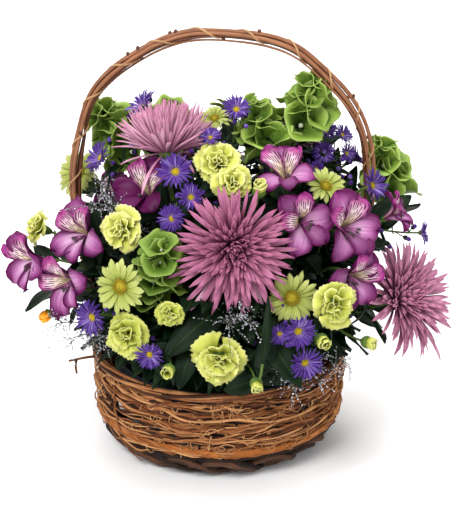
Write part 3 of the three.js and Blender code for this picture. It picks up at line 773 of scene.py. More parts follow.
def carnation(skin, bloom, rng, tones):
    """A ruffled head of saw-edged fans out of a long calyx, or a closed bud of a few."""
    bud = bloom.radius < BUD_RADIUS
    stations, across = (6, 11) if bud else (8, 19)
    u, v = np.linspace(0, 1, stations), np.linspace(-1, 1, across)
    first = rng.uniform(0, 6)
    for ring, (count, fan, lean_from, lean_to, length) in enumerate(BUD_RINGS if bud else CARNATION_RINGS):
        turns = first + ring * 0.6 + (np.arange(count) + rng.normal(0, 0.12, count)) / count * FULL_TURN
        lean_from = np.radians(lean_from + rng.normal(0, 3, count))
        lean_to = np.radians(lean_to + rng.normal(0, 9, count))
        length = length * scatter(rng, 0.09, count)
        start = np.full(count, 0.12 - 0.02 * ring), np.full(count, 0.42)
        reach, rise = leaning(bloom.radius, start, lean_from, lean_to, length, stations, 0.9)
        fan = math.radians(fan) * scatter(rng, 0.1, (count, 1, 1))
        angle = turns[:, None, None] + fan * v * (0.55 + 0.45 * u[None, :, None])
        phase = rng.uniform(0, FULL_TURN, (2, count, 1, 1))
        waves = np.sin(v * 3.8 + phase[0]) + 0.35 * np.sin(v * 8.5 + phase[1])
        ruffle = bloom.radius * (0.05 if bud else 0.13) * waves * u[None, :, None] ** 1.3
        teeth = 0.028 * np.where(np.arange(across) % 2, 1, -1)
        saw = teeth + rng.normal(0, 0.02, (count, across)) - 0.12 * v**2
        edge = 1 + saw[:, None] * u[None, :, None] ** 5
        d_reach, d_rise = np.gradient(reach, axis=1), np.gradient(rise, axis=1)
        slope = np.hypot(d_reach, d_rise)
        out = reach[:, :, None] * edge - ruffle * (d_rise / slope)[:, :, None]
        up = rise[:, :, None] * (1 + (edge - 1) * 0.5) + ruffle * (d_reach / slope)[:, :, None]
        skin.sheets(bloom.place(polar(out, angle, up)), 0.45 * MM, rng.uniform(*tones, count))


def rays(skin, bloom, rng, count, layers, width, thickness, start, rise_to, across):
    """Flat ray petals in a few overlapping layers."""
    u = np.linspace(0, 1, 6) ** 0.9
    shape = np.interp(u, [0, 0.2, 0.6, 0.85, 0.96, 1], [0.45, 0.7, 1.0, 0.9, 0.5, 0.15])
    low = 0.16
    for layer in range(layers):
        n = count // layers
        turns = (np.arange(n) + layer / layers) / n * FULL_TURN + rng.normal(0, 0.25 / n, n)
        long = (1.02 - 0.1 * layer) * scatter(rng, 0.05, (n, 1))
        lift = rise_to + 0.07 * layer + rng.normal(0, 0.08, (n, 1))
        reach = bloom.radius * (start + (long - start) * u[None])
        rise = bloom.radius * (low + (lift - low) * u[None] ** 0.8 + 0.10 * np.sin(u[None] * math.pi))
        half_width = bloom.radius * width * shape[None] * scatter(rng, 0.08, (n, 1))
        sway = bloom.radius * rng.normal(0, 0.05, (n, 1)) * u[None] ** 2
        cup, tone = rng.normal(0.1, 0.15), rng.uniform(0, 1, n)
        petals(skin, bloom, turns, reach, rise, half_width, cup, thickness, tone, 0.0, across, 0.0, sway)


def heart(skin, bloom, rng, size, height, count, floret):
    """A domed heart set with small florets."""
    share = (np.arange(count) + 0.5) / count
    turns = np.arange(count) * GOLDEN_ANGLE
    out = size * np.sqrt(share)
    up = height * np.sqrt(np.maximum(1 - 0.8 * share, 0.0))
    base = bloom.radius * polar(out, turns, 0.16 + up)
    ahead = unit(polar(1.2 * out, turns, 0 * out + size))
    s = np.array([-0.6, 0.4, 0.8, 1.0])
    path = base[:, None] + ahead[:, None] * (s * bloom.radius * floret * 1.6)[:, None]
    wide = bloom.radius * floret * np.array([0.9, 1.0, 0.7, 0.15]) * scatter(rng, 0.1, (count, 1))
    skin.tubes(bloom.place(path), wide, sides=4, tone=rng.uniform(0, 1, count), zone=share)
    s = np.linspace(0, 1, 5)
    core = bloom.radius * (0.04 + (0.12 + height) * s)[:, None] * UP
    skin.tube(bloom.place(core), bloom.radius * size * np.sqrt(1.02 - s**2 * 0.9), sides=14, zone=1.0)


def leaf(skin, base, tip, out, width, rng, fold, droop, stations, thickness=0.5 * MM):
    """A pointed leaf from base to tip, folded a little along its midrib, with its face towards `out`."""
    u = np.linspace(0, 1, stations)
    v = np.linspace(-1, 1, 5 if width > 20 * MM else 3)  # a broad leaf is smoother across
    along = tip - base
    length = np.linalg.norm(along)
    out = unit(out - along * (out @ along) / length**2)
    side = np.cross(unit(along), out)
    arch = np.sin(u * math.pi)[:, None] * out * length * droop
    twist = rng.normal(0, 0.25) * u
    middle = base + along * u[:, None] + arch
    half = width / 2 * (0.05 + 0.95 * np.sin(math.pi * u**0.8) ** 0.8) * (1 - 0.05 * u)
    across = side * np.cos(twist)[:, None] + out * np.sin(twist)[:, None]
    wave = 0.06 * width * np.sin(v * 3 + u[:, None] * 9 + rng.uniform(0, 6)) * u[:, None]
    lift = fold * half[:, None] * np.abs(v) + wave
    grid = middle[:, None] + across[:, None] * (half[:, None] * v)[..., None] + out * lift[..., None]
    skin.sheets(grid[None], thickness, rng.uniform(0, 1))


def hides_a_bloom(base, tip):
    """Whether a leaf from base to tip would stand before the face of a bloom."""
    points = base + (tip - base) * np.linspace(0.25, 1, 5)[:, None]
    for bloom in BLOOMS:
        right, up, ahead = ((points - bloom.back) @ bloom.axes.T / bloom.radius).T
        if np.any((ahead > 0.3) & (ahead < 3.5) & (np.hypot(right, up) < 1.05)):
            return True
    return False


def leafy(skin, path, rng, count, length, width, low=0.25, high=0.85):
    """Leaves along a stem, spread to its sides with their faces outward, none of them before a bloom."""
    tries = 8
    for k in range(count):
        at = low + (high - low) * (k + rng.uniform(0.1, 0.9)) / count
        i = min(int(at * (len(path) - 1)), len(path) - 2)
        way = unit(path[i + 1] - path[i])
        for attempt in range(tries):
            aside = sideways(way, (k + attempt) * GOLDEN_ANGLE + rng.uniform(0, 1))
            long = length * rng.uniform(0.7, 1.2)
            tip = path[i] + (aside * 0.85 + way * rng.uniform(0.1, 0.7)) * long
            tip[2] = max(tip[2], LOWEST_TIP)
            if not hides_a_bloom(path[i], tip):
                wide, droop = width * rng.uniform(0.75, 1.25), rng.uniform(-0.05, 0.12)
                leaf(skin, path[i], tip, way + aside * 0.2, wide, rng, fold=0.3, droop=droop, stations=7)
                break


def calyx(skin, bloom, length, wide):
    """The green cup between a stem and its bloom: radii as shares of the bloom's, from the stem forward."""
    path = bloom.radius * (length * np.linspace(0, 1, len(wide)) - 0.04)[:, None] * UP
    skin.tube(bloom.place(path), bloom.radius * np.array(wide), sides=10, tone=0.4, zone=1.0)


# ---------------------------------------------------------------- the sprays

GREEN = paint_green("leaf_blade", srgb(21, 46, 19), srgb(7, 22, 10), srgb(56, 82, 40))
BRIGHT_GREEN = paint_green("broad_leaf", srgb(12, 36, 11), srgb(4, 18, 6), srgb(46, 76, 28))
ASTER_HEART = paint_heart("aster_heart", srgb(206, 186, 40), srgb(236, 200, 52))
DAISY_HEART = paint_heart("daisy_heart", srgb(120, 118, 28), srgb(190, 168, 44))

# A kind's flat CAD front and the depth behind it, as shares of the bloom's radius; the least share of its
# circle that the front still fills where another bloom bites into it; then the radius of the kind's stem, the
# number of its leaves, and their length and width. Those lengths are in millimetres.
KINDS = {
    "mum": dict(front=0.55, depth=0.62, round=0.6, stem=2.4, leaves=14, length=56, width=26),
    "alstroemeria": dict(front=1.0, depth=0.95, round=0.45, stem=1.8, leaves=12, length=56, width=19),
    "carnation": dict(front=0.66, depth=1.3, round=0.6, stem=1.5, leaves=10, length=50, width=12),
    "daisy": dict(front=1.0, depth=0.28, round=0.6, stem=1.6, leaves=12, length=46, width=22),
    "aster": dict(front=1.0, depth=0.5, round=0.6, stem=1.3, leaves=22, length=42, width=12),
}

# The mum that is a bowl has a front and depth of its own.
BOWL = {"mum_top_left": dict(front=0.5, depth=1.08)}

# The tones of the petals of sprays that differ from others of their kind.
TONES = {
    "alstroemeria_left": (0.9, 1.3),
    "alstroemeria_upper_left": (0.0, 0.2),
    "alstroemeria_right": (0.15, 0.85),
    "bells_front_left": (0.8, 1.4),
    "carnation_left": (0.0, 0.3),
    "carnation_lower_left": (0.7, 1.6),
    "carnation_front": (0.3, 1.2),
    "carnation_right": (0.4, 1.3),
}


# How far the streaked petals of an alstroemeria spray are turned from upright, in radians.
TURNED = {"alstroemeria_left": 0.95}


def blooms_on(node):
    kind = {**KINDS[kind_of(node)], **BOWL.get(node, {})}
    return blooms_of(node, kind["front"], kind["depth"], kind["round"])


SPRAYS = {node: blooms_on(node) for node in sorted(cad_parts) if kind_of(node) in KINDS}
BLOOMS = [bloom for blooms in SPRAYS.values() for bloom in blooms]


def stems(skin, node, blooms, kind, rng):
    """The cut stem of a spray, its side stems and its leaves. Returns the paths of its stems."""
    radius, long, wide = kind["stem"] * MM, kind["length"] * MM, kind["width"] * MM
    main = stem_to(node, blooms[0].back, blooms[0].out(), 15)
    skin.tube(main, (1.1 * radius, 0.9 * radius), sides=8, tone=0.5, zone=1.0)
    leafy(skin, main, rng, kind["leaves"], long, wide)
    paths = [main]
    for bloom in blooms[1:]:
        twig = bend(main[7], unit(main[8] - main[6]), bloom.back, bloom.out(), 10)
        skin.tube(twig, (0.8 * radius, 0.7 * radius), sides=6, tone=0.5, zone=1.0)
        leafy(skin, twig, rng, kind["leaves"] // 2, 0.7 * long, 0.8 * wide, low=0.3)
        paths.append(twig)
    return paths


def side_buds(skin, green, paths, rng):
    """The unopened buds of an aster, on short stalks off its stems."""
    buds = 7
    for path in paths:
        for _ in range(buds):
            i = rng.integers(len(path) // 2, len(path) - 1)
            way = unit(path[i + 1] - path[i])
            out = unit(unit(rng.normal(0, 1, 3)) + way * 0.9)
            tip = path[i] + out * rng.uniform(12, 24) * MM
            if hides_a_bloom(path[i], tip):
                continue
            green.tube(bend(path[i], way, tip, out, 6), 0.6 * MM, sides=5, tone=0.5, zone=1.0)
            scales = tip + out * np.linspace(-0.5, 4.5, 5)[:, None] * MM
            green.tube(scales, np.array([0.8, 2.0, 2.5, 2.3, 1.8]) * MM, sides=7, tone=0.9)
            tuft = tip + out * np.linspace(3.5, 8.0, 5)[:, None] * MM
            skin.tube(tuft, np.array([1.8, 2.1, 2.3, 2.0, 0.9]) * MM, sides=7, tone=rng.uniform(0, 1))


def build_mum(node, skin, green, bloom, rng):
    count = 240 if node == "mum_back" else 330  # that one is half hidden
    mum(skin, bloom, rng, count, **MUM_LOOKS.get(node, {}))
    if node in STRAYS:
        stray_petals(skin, bloom, STRAYS[node], rng)
    calyx(green, bloom, 0.2, [0.06, 0.16, 0.2, 0.16])


def build_alstroemeria(node, skin, green, bloom, rng):
    alstroemeria(skin, bloom, rng, TONES.get(node, (0.25, 1.0)), TURNED.get(node, 0.0))
    calyx(green, bloom, 0.22, [0.07, 0.13, 0.1, 0.07])


def build_carnation(node, skin, green, bloom, rng):
    carnation(skin, bloom, rng, TONES.get(node, (0.0, 0.8)))
    bud = bloom.radius < BUD_RADIUS
    if bud:
        calyx(green, bloom, 0.95, [0.2, 0.55, 0.7, 0.66])
    else:
        calyx(green, bloom, 0.75, [0.14, 0.26, 0.3, 0.27])


def build_daisy(node, skin, green, bloom, rng):
    size = dict(width=0.115, thickness=0.5 * MM, start=0.2, rise_to=0.2)
    rays(skin, bloom, rng, count=24, layers=2, across=5, **size)
    calyx(green, bloom, 0.18, [0.08, 0.22, 0.26, 0.2])


def build_aster(node, skin, green, bloom, rng):
    size = dict(width=0.05, thickness=0.4 * MM, start=0.16, rise_to=0.46)
    rays(skin, bloom, rng, count=54, layers=3, across=3, **size)
    calyx(green, bloom, 0.28, [0.09, 0.2, 0.22, 0.17])


def build_sprays():
    paints = {
        "mum": (build_mum, paint_mum(), "mum_petal"),
        "alstroemeria": (build_alstroemeria, paint_alstroemeria(), "alstroemeria_petal"),
        "carnation": (build_carnation, paint_carnation(), "carnation_petal"),
        "daisy": (build_daisy, paint_daisy(), "daisy_petal"),
        "aster": (build_aster, paint_aster(), "aster_petal"),
    }
    hearts = {
        "daisy": (DAISY_HEART, dict(size=0.3, height=0.16, count=96, floret=0.023)),
        "aster": (ASTER_HEART, dict(size=0.2, height=0.1, count=40, floret=0.032)),
    }
    for node, blooms in SPRAYS.items():
        name = kind_of(node)
        kind, (build, paint, slot), rng = KINDS[name], paints[name], dice(node)
        skin, green, gold = Skin(), Skin(), Skin()
        for bloom in blooms:
            build(node, skin, green, bloom, rng)
            if name in hearts:
                heart(gold, bloom, rng, **hearts[name][1])
        paths = stems(green, node, blooms, kind, rng)
        if name == "aster":
            side_buds(skin, green, paths, rng)
        piece(f"{node}_petals", skin, paint, slot, node)
        piece(f"{node}_stem", green, GREEN, "leaf_blade", node)
        if name in hearts:
            piece(f"{node}_heart", gold, hearts[name][0], slot, node)


# ---------------------------------------------------------------- bells, leaves, limonium, bud


def cup(skin, base, out, radius, tone, rng):
    """One green bell: a flaring veined cup with a wavy rim and a small pale flower inside."""
    axes = axes_facing(out)
    turned_by = rng.uniform(0, FULL_TURN)
    u = np.linspace(0, 1, 8)[:, None]
    turn = np.arange(24) / 24 * FULL_TURN
    wide = radius * bezier(u, 0.12, 0.36, 0.62, 1.0)
    lobes = 1 + 0.08 * np.cos(5 * turn + turned_by) * u**3
    squash = 1 + rng.uniform(0.05, 0.28) * np.cos(2 * turn + rng.uniform(0, 6)) * u
    rim = radius * u**4 * (ripple(rng, turn, 5, 0.12) + 0.10 * np.sin(2 * turn + turned_by))
    depth = radius * bezier(u, 0.0, 0.42, 0.95, 1.08) + rim
    grid = np.stack([wide * lobes * squash * np.cos(turn), wide * lobes * np.sin(turn), depth], -1)
    skin.sheets((base + grid @ axes)[None, :, ::-1], 0.4 * MM, tone, 0.0, True)
    flower = radius * np.linspace(0.05, 0.42, 4)[:, None] * UP
    skin.tube(base + flower @ axes, radius * np.array([0.06, 0.09, 0.12, 0.04]), sides=6, zone=1.0)


def room_for_cup(at, out, size):
    """The radius of a cup, made smaller where a bloom is in its way."""
    mouth = at + unit(out) * size * 0.8
    gaps = [np.linalg.norm(mouth - b.place(0.3 * b.radius * UP)) - 0.8 * b.radius for b in BLOOMS]
    return min(max(min(gaps), 0.7 * size), size)


def spike_of(node):
    """Where a spike of bells starts, the way it points, how long it is and how far its cups stand out."""
    # The CAD spike's tip is its one small round face, and its cups stand out further than its stem.
    tip, way = next(face for face in flat_faces(node) if face[4] > 0.8 and face[3] < 9 * MM)[1:3]
    points, _ = welded(node)
    behind = (tip - points) @ way
    aside = np.linalg.norm(points - tip + behind[:, None] * way, axis=1)
    length = behind[(aside > 10.5 * MM) & (behind < 80 * MM)].max()
    widest = aside[(behind < length) & (behind > 0)].max()
    return tip - way * length, way, length, widest


def build_bells():
    paint = paint_bell()
    around = 4
    for node in nodes_of("bells"):
        rng = dice(node)
        base, way, length, widest = spike_of(node)
        green, skin = Skin(), Skin()
        middle = base + way * np.linspace(0.2, 0.9, 6)[:, None] * length
        main = np.concatenate([stem_to(node, base, way, 12), middle])
        green.tube(main, (3.4 * MM, 1.8 * MM), sides=8, tone=0.2, zone=1.0)
        leafy(green, main, rng, count=8, length=46 * MM, width=24 * MM, high=0.6)
        tones = TONES.get(node, (0.0, 0.8))
        whorls = int(length / (14 * MM)) + 1
        for k in range(whorls):
            share = k / (whorls - 1)
            for j in range(around):
                aside = sideways(way, (j + 0.5 * (k % 2)) / around * FULL_TURN + rng.normal(0, 0.22))
                size = widest * (1.08 - 0.4 * share**2) * rng.uniform(0.8, 1.2)
                at = base + way * length * (share * 0.86) + aside * 1.5 * MM
                out = aside * (0.9 - 0.45 * share) + way * rng.uniform(0.55, 1.0)
                cup(skin, at, out, room_for_cup(at, out, size), rng.uniform(*tones), rng)
        piece(f"{node}_cups", skin, paint, "bell_calyx", node)
        piece(f"{node}_stem", green, GREEN, "leaf_blade", node)


# The middle, in degrees, of the sector that each branch of foliage fills with low leaves.
SECTORS = {
    "foliage_front_left": -118,
    "foliage_front_right": -62,
    "foliage_right": 0,
    "foliage_back_right": 60,
    "foliage_back_left": 120,
    "foliage_left": 180,
}
SECTOR = 60  # how far round, in degrees, each sector goes

# The rows of low leaves, in millimetres: the height that they start at, how far out their tips reach, and how
# far the tips drop.
LOW_ROWS = [(128, 128, 21), (134, 138, 20), (158, 144, 6), (186, 150, -14)]


def low_leaves(skin, rng, middle):
    """Leaves on short stalks out of the side of the foam, in rows, the lower ones over the rim."""
    a_row, lowest = 7, 107
    for row, (height, far, drop) in enumerate(LOW_ROWS):
        for k in range(a_row):
            share = (k + 0.5 * (row % 2) + rng.uniform(0, 0.5)) / a_row
            way = polar(1.0, math.radians(middle - SECTOR / 2 + SECTOR * share), 0.0)
            root = (way * np.array([58, 46, 0]) + UP * (height - 18)) * MM
            near = (way * (78 + rng.uniform(0, 12)) + UP * (height + rng.uniform(-4, 6))) * MM
            tip = way * (far + rng.uniform(-8, 8)) + UP * max(height - drop + rng.uniform(-6, 8), lowest)
            tip = (tip + np.array([-way[1], way[0], 0]) * rng.normal(0, 12)) * MM
            if hides_a_bloom(near, tip):
                continue
            skin.tube(bend(root, way, near, unit(tip - near), 7), 0.9 * MM, sides=5, zone=1.0)
            wide, droop = rng.uniform(20, 32) * MM, rng.uniform(0.02, 0.14)
            leaf(skin, near, tip, UP + way * 0.4, wide, rng, fold=0.25, droop=droop, stations=7)


# Leafy shoots that branch off: where the leaf at the end of each one starts and ends, in millimetres.
SHOOTS = {"foliage_back_right": [((108, 30, 212), (138, 42, 272)), ((98, 40, 222), (120, 52, 288))]}


def leaf_plates(node):
    """A branch's broad leaves, from its CAD plates: each one's foot, tip, outward normal and width."""
    for size, middle, normal, reach, roundness, corners in flat_faces(node):
        outward = normal @ (middle - STEM_FOCUS) > 0
        if not outward or not 0.08 < roundness < 0.6 or size <= 200 * MM**2 or reach < 20 * MM:
            continue
        if np.ptp(corners @ np.cross(normal, unit(corners[0] - middle))) < 5 * MM:
            continue
        ends = corners[np.argsort(-np.linalg.norm(corners - middle, axis=1))]
        far = ends[np.argmax(np.linalg.norm(ends - ends[0], axis=1))]
        base, tip = sorted((ends[0], far), key=lambda end: np.linalg.norm(end - STEM_FOCUS))
        yield base, tip, normal, np.ptp(corners @ np.cross(normal, unit(tip - base)))


def build_foliage():
    for node in nodes_of("foliage"):
        rng = dice(node)
        skin = Skin()
        for base, tip, normal, width in leaf_plates(node):
            stem = stem_to(node, base, unit(tip - base), 12)
            skin.tube(stem, (2.0 * MM, 1.3 * MM), sides=7, zone=1.0)
            shape = dict(fold=0.22, droop=0.1, stations=15, thickness=0.7 * MM)
            leaf(skin, base, tip, normal, 1.06 * width, rng, **shape)
            leafy(skin, stem, rng, count=6, length=52 * MM, width=24 * MM, low=0.3, high=0.95)
        for ends in SHOOTS.get(node, []):
            base, tip = np.array(ends) * MM
            stem = stem_to(node, base, unit(tip - base), 12)
            skin.tube(stem, (2.0 * MM, 1.0 * MM), sides=7, zone=1.0)
            front = np.array([0.2, -1.0, 0.3])
            leaf(skin, base, tip, front, 24 * MM, rng, fold=0.22, droop=0.1, stations=11)
            leafy(skin, stem, rng, count=5, length=46 * MM, width=20 * MM, low=0.5, high=1.0)
        piece(f"{node}_leaves", skin, BRIGHT_GREEN, "leaf_blade", node)
        skin = Skin()
        low_leaves(skin, rng, SECTORS[node])
        piece(f"{node}_low_leaves", skin, GREEN, "leaf_blade", node)


def limonium_head(skin, rng, main, head):
    """A head of hair-thin sprigs. Returns where its florets are and the way that each one leans."""
    twig = bend(main[6], unit(main[7] - main[5]), head.place(head.radius * UP), head.out(), 12)
    skin.tube(twig, (0.9 * MM, 0.4 * MM), sides=5, tone=0.4)
    florets, lean, sprigs = [], [], 26
    for _ in range(sprigs):
        start = twig[rng.integers(4, 12)]
        way = unit(unit(rng.normal(0, 1, 3)) + head.out() * 0.8)
        long = rng.uniform(8, 26) * MM
        end = start + way * long + rng.normal(0, 3, 3) * MM
        sprig = bend(start, way, end, unit(way + rng.normal(0, 0.4, 3)), 9)
        skin.tube(sprig, (0.28 * MM, 0.18 * MM), sides=4, tone=rng.uniform(0, 1))
        for point in sprig[2:]:
            florets.append(point + rng.normal(0, 0.5, 3) * MM)
            lean.append(unit(way + rng.normal(0, 0.7, 3)))
    return florets, lean


def build_limonium():
    paint = paint_limonium()
    for node in nodes_of("limonium"):
        rng = dice(node)
        skin = Skin()
        heads = blooms_of(node, 1.0, 1.1)
        main = stem_to(node, heads[0].back, heads[0].out(), 14)
        skin.tube(main, (1.3 * MM, 0.7 * MM), sides=6, tone=0.5)
        grown = [limonium_head(skin, rng, main, head) for head in heads]
        florets, lean = (np.concatenate(part) for part in zip(*grown))
        count, s = len(florets), np.array([0, 0.5, 1.0])[:, None]
        size = rng.uniform(0.35, 0.75, (count, 1)) * MM
        path = florets[:, None] + lean[:, None] * s * size[:, None] * 2.6
        skin.tubes(path, size * np.array([0.45, 1.0, 0.7]), sides=4, tone=rng.uniform(0, 1, count), zone=1.0)
        piece(f"{node}_sprig", skin, paint, "limonium_floret", node)


def build_orange_bud():
    node = "orange_bud"
    rng = dice(node)
    bud = blooms_of(node, 0.6, 2.1)[0]
    skin, green = Skin(), Skin()
    main = stem_to(node, bud.back, bud.out(), 14)
    green.tube(main, (1.4 * MM, 1.1 * MM), sides=7, zone=1.0)
    leafy(green, main, rng, count=4, length=34 * MM, width=10 * MM)
    calyx(green, bud, 0.9, [0.3, 0.8, 0.95, 0.7])
    count, stations = 7, 8
    all_of = lambda value: np.full(count, value)
    start = all_of(0.2), all_of(0.3)
    reach, rise = leaning(bud.radius, start, all_of(0.5), all_of(-0.35), all_of(2.1), stations)
    shape = np.interp(np.linspace(0, 1, stations), [0, 0.5, 1], [0.3, 0.62, 0.15])
    half_width = np.repeat(bud.radius * shape[None], count, 0)
    turns = np.arange(count) / count * FULL_TURN
    petals(skin, bud, turns, reach, rise, half_width, -0.3, 0.5 * MM, rng.uniform(0, 1, count))
    piece("orange_bud_petals", skin, paint_bud(), "bud_petal", node)
    piece("orange_bud_stem", green, GREEN, "leaf_blade", node)


# ---------------------------------------------------------------- the basket


def wall_profile():
    """Heights and outer radii of the woven wall's CAD solids."""
    heights, radii = [], []
    for node in ("weave_foot", "weave_body"):
        points, _ = welded(node)
        out = np.hypot(points[:, 0], points[:, 1])
        for z in np.unique(np.round(points[:, 2], 5)):
            heights.append(z)
            radii.append(out[np.abs(points[:, 2] - z) < 2e-5].max())
    order = np.argsort(heights)
    return np.array(heights)[order], np.array(radii)[order]


HEIGHTS, RADII = wall_profile()
WALL_TOP = HEIGHTS[-1]
STAKES = 22


def round_path(turn, height, inset):
    """Points at angles round the wall, at heights, so far inside its outer face."""
    return polar(np.interp(height, HEIGHTS, RADII) - inset, turn, height)


def wander(rng, turn, size, low=2, high=8):
    """A smooth random wave round the wall that closes on itself, with low to high swings a turn."""
    total = np.zeros_like(turn)
    for _ in range(5):
        total += rng.normal(0, 0.6) * np.sin(turn * rng.integers(low, high + 1) + rng.uniform(0, 6))
    return total * size


def strand(skin, rng, start, span, height, drift, inset, weave, radius, tone, sway):
    """A vine laid round the wall, passing in and out between the stakes and rising and sagging as it goes."""
    n = max(14, int(span / math.radians(2.8)))
    turn = np.linspace(start, start + span, n)
    share = np.linspace(-0.5, 0.5, n)
    z = height + drift * share
    z = z + wander(rng, turn, sway, 3, 10) + wander(rng, turn, 0.7 * sway, 11, 24)
    depth = inset + ripple(rng, turn, STAKES / 2, weave) + wander(rng, turn, 0.8 * MM, 4, 20)
    z = np.clip(z, 8 * MM, WALL_TOP + 5 * MM)
    thin = np.interp(share, [-0.5, -0.46, 0.46, 0.5], [0.35, 1, 1, 0.35])
    knobs = 1 + ripple(rng, turn, 9, 0.16) + ripple(rng, turn, 23, 0.13)
    skin.tube(round_path(turn, z, depth), radius * thin * knobs, tone=tone, side=UP)


def build_wall():
    rng = dice("wall")
    wall_vines(rng)
    foot_rods(rng)
    base_weave(rng)


def wall_vines(rng):
    """Long vines in rows up the wall, woven round the stakes, and shorter ones laid over them."""
    skin = Skin()
    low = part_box("weave_body")[0].z
    first, tall = low + 3 * MM, WALL_TOP - low
    rows, loose = 25, 110
    for row in range(rows):
        height = first + tall * (row + rng.uniform(-0.3, 0.3)) / rows
        strand(
            skin, rng, start=rng.uniform(0, 6), span=FULL_TURN * rng.uniform(0.8, 1.02), height=height,
            drift=rng.normal(0, 6) * MM, inset=3.8 * MM, weave=1.5 * MM,
            radius=rng.uniform(1.1, 2.0) * MM, tone=rng.uniform(0.0, 0.9), sway=1.6 * MM,
        )
    for _ in range(loose):
        span = rng.uniform(0.4, 2.0)
        height = first + tall * rng.uniform(0, 1) ** 0.85
        strand(
            skin, rng, start=rng.uniform(0, FULL_TURN), span=span, height=height,
            drift=rng.normal(0, 10) * MM * span, inset=rng.uniform(0.0, 2.6) * MM, weave=1.0 * MM,
            radius=rng.uniform(0.6, 1.5) * MM, tone=rng.uniform(0.1, 1.0), sway=1.9 * MM,
        )
    piece("wall_vines", skin, BARK, "vine_bark", "weave_body")


def foot_rods(rng):
    """Rods that wind round each other in the foot, a hoop under and one over them, and the wall's stakes."""
    skin = Skin()
    turn = np.linspace(0, FULL_TURN, 220)
    for k, turns in enumerate((7, 9, 8, 7, 9, 8)):
        swing = turn * turns + k * FULL_TURN / 3
        z = 13 * MM + 8.5 * MM * np.sin(swing) + wander(rng, turn, 1.2 * MM, 3, 9)
        z = np.clip(z, 3.4 * MM, 24 * MM)
        depth = 3.8 * MM + 2.2 * MM * np.cos(swing)
        thick = rng.uniform(2.4, 3.5) * MM * (1 + wander(rng, turn, 0.06, 6, 16))
        skin.tube(round_path(turn, z, depth), thick, sides=7, tone=rng.uniform(0, 0.9), side=UP)
    turn = np.linspace(0, FULL_TURN, 160)
    for height, depth in ((3.6, 3.0), (25.0, 2.4)):
        z = height * MM + np.abs(wander(rng, turn, 0.8 * MM, 3, 10))
        skin.tube(round_path(turn, z, depth * MM), 2.8 * MM, sides=8, tone=0.3, side=UP)
    z = np.linspace(3 * MM, WALL_TOP + 3 * MM, 12)
    for k in range(STAKES):
        turn = (k + rng.uniform(-0.1, 0.1)) / STAKES * FULL_TURN
        path = round_path(np.full(len(z), turn), z, 5.6 * MM)
        skin.tube(path, rng.uniform(1.8, 2.4) * MM, tone=rng.uniform(0, 0.4))
    piece("foot_rods", skin, DARK_BARK, "dark_vine", "weave_foot")


def base_weave(rng):
    """The woven bottom: rings that pass over and under spokes."""
    skin = Skin()
    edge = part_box("base_mat")[1]
    rings, spokes = 16, 8
    for k in range(rings):
        turn = np.linspace(0, FULL_TURN, max(16, 6 * k)) + k
        z = edge.z * 0.5 + 0.8 * MM * np.sin(turn * 8 + k * math.pi)
        path = polar(edge.x * (k + 0.6) / rings, turn, z)
        skin.tube(path, 2.6 * MM, tone=rng.uniform(0, 0.8), side=UP)
    for k in range(spokes):
        way = polar(1.0, k * math.pi / spokes, 0.0)
        path = edge.z * 0.5 * UP + way * np.linspace(-1, 1, 12)[:, None] * edge.x * 0.98
        skin.tube(path, 2.2 * MM, 1.6 * MM, tone=rng.uniform(0, 0.6))
    piece("base_weave", skin, DARK_BARK, "dark_vine", "base_mat")


def build_rim():
    rng = dice("rim")
    low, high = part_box("rim_hoop")
    middle, tube = (low.z + high.z) / 2, (high.z - low.z) / 2
    skin, vines = Skin(), 8
    turn = np.linspace(0, FULL_TURN, 180)
    for k in range(vines):
        swing = turn * rng.integers(2, 6) + k * FULL_TURN / vines
        out = high.x - tube + tube * 0.66 * np.cos(swing)
        z = middle + tube * 0.66 * np.sin(swing) + wander(rng, turn, 0.7 * MM)
        size = rng.uniform(1.2, 2.2) * MM * (1 + 0.1 * np.sin(turn * 13 + k))
        skin.tube(polar(out, turn, z), size, tone=rng.uniform(0.0, 0.9), side=UP)
    piece("rim_vines", skin, BARK, "vine_bark", "rim_hoop")


def build_loose():
    """What stands off the wall."""
    rng = dice("loose")
    bark_strip(rng)
    outer_vines(rng)
    rootlets(rng)


def bark_strip(rng):
    """Ragged strips of orange bark round the wall."""
    skin = Skin()
    n = 120
    along, v = np.linspace(0, 1, n), np.linspace(-1, 1, 9)
    for start, end, height, wide in ((-170, -20, 34, 4.6), (20, 130, 35, 4.6), (-44, 40, 37, 3.8)):
        turn = np.radians(np.linspace(start, end, n))
        level = height * MM + 2.0 * MM * np.sin(turn * 2.2 + 0.5) + wander(rng, turn, 0.6 * MM)
        half = np.interp(along, [0, 0.08, 0.3, 0.6, 0.9, 1], [0.3, 0.9, 0.7, 1.0, 0.8, 0.25]) * wide * MM
        ragged = 1 + 0.3 * rng.uniform(-1, 1, (n, 1)) * v**2
        z = level[:, None] + half[:, None] * ragged * v
        fuzz = 0.5 * MM * rng.uniform(-1, 1, z.shape)
        points = round_path(np.repeat(turn[:, None], len(v), 1), z, -0.9 * MM + 1.6 * MM * v**2 + fuzz)
        skin.sheets(points[None], 0.9 * MM, rng.uniform(0, 1))
    tones = srgb(96, 52, 24), srgb(164, 96, 42), srgb(204, 142, 82)
    orange = paint_bark("orange_bark", *tones, roughness=0.85, ridge=1.0)
    piece("bark_strip", skin, orange, "vine_bark", "weave_body")


def outer_vines(rng):
    """Thin vines laid over the strips and the wall above them."""
    skin, vines = Skin(), 26
    for _ in range(vines):
        span = rng.uniform(0.3, 1.4)
        strand(
            skin, rng, start=rng.uniform(0, FULL_TURN), span=span, height=rng.uniform(30, 60) * MM,
            drift=rng.normal(0, 9) * MM * span, inset=rng.uniform(-1.4, -0.2) * MM, weave=0.5 * MM,
            radius=rng.uniform(0.6, 1.2) * MM, tone=rng.uniform(0.4, 1.0), sway=1.6 * MM,
        )
    piece("outer_vines", skin, BARK, "vine_bark", "weave_body")


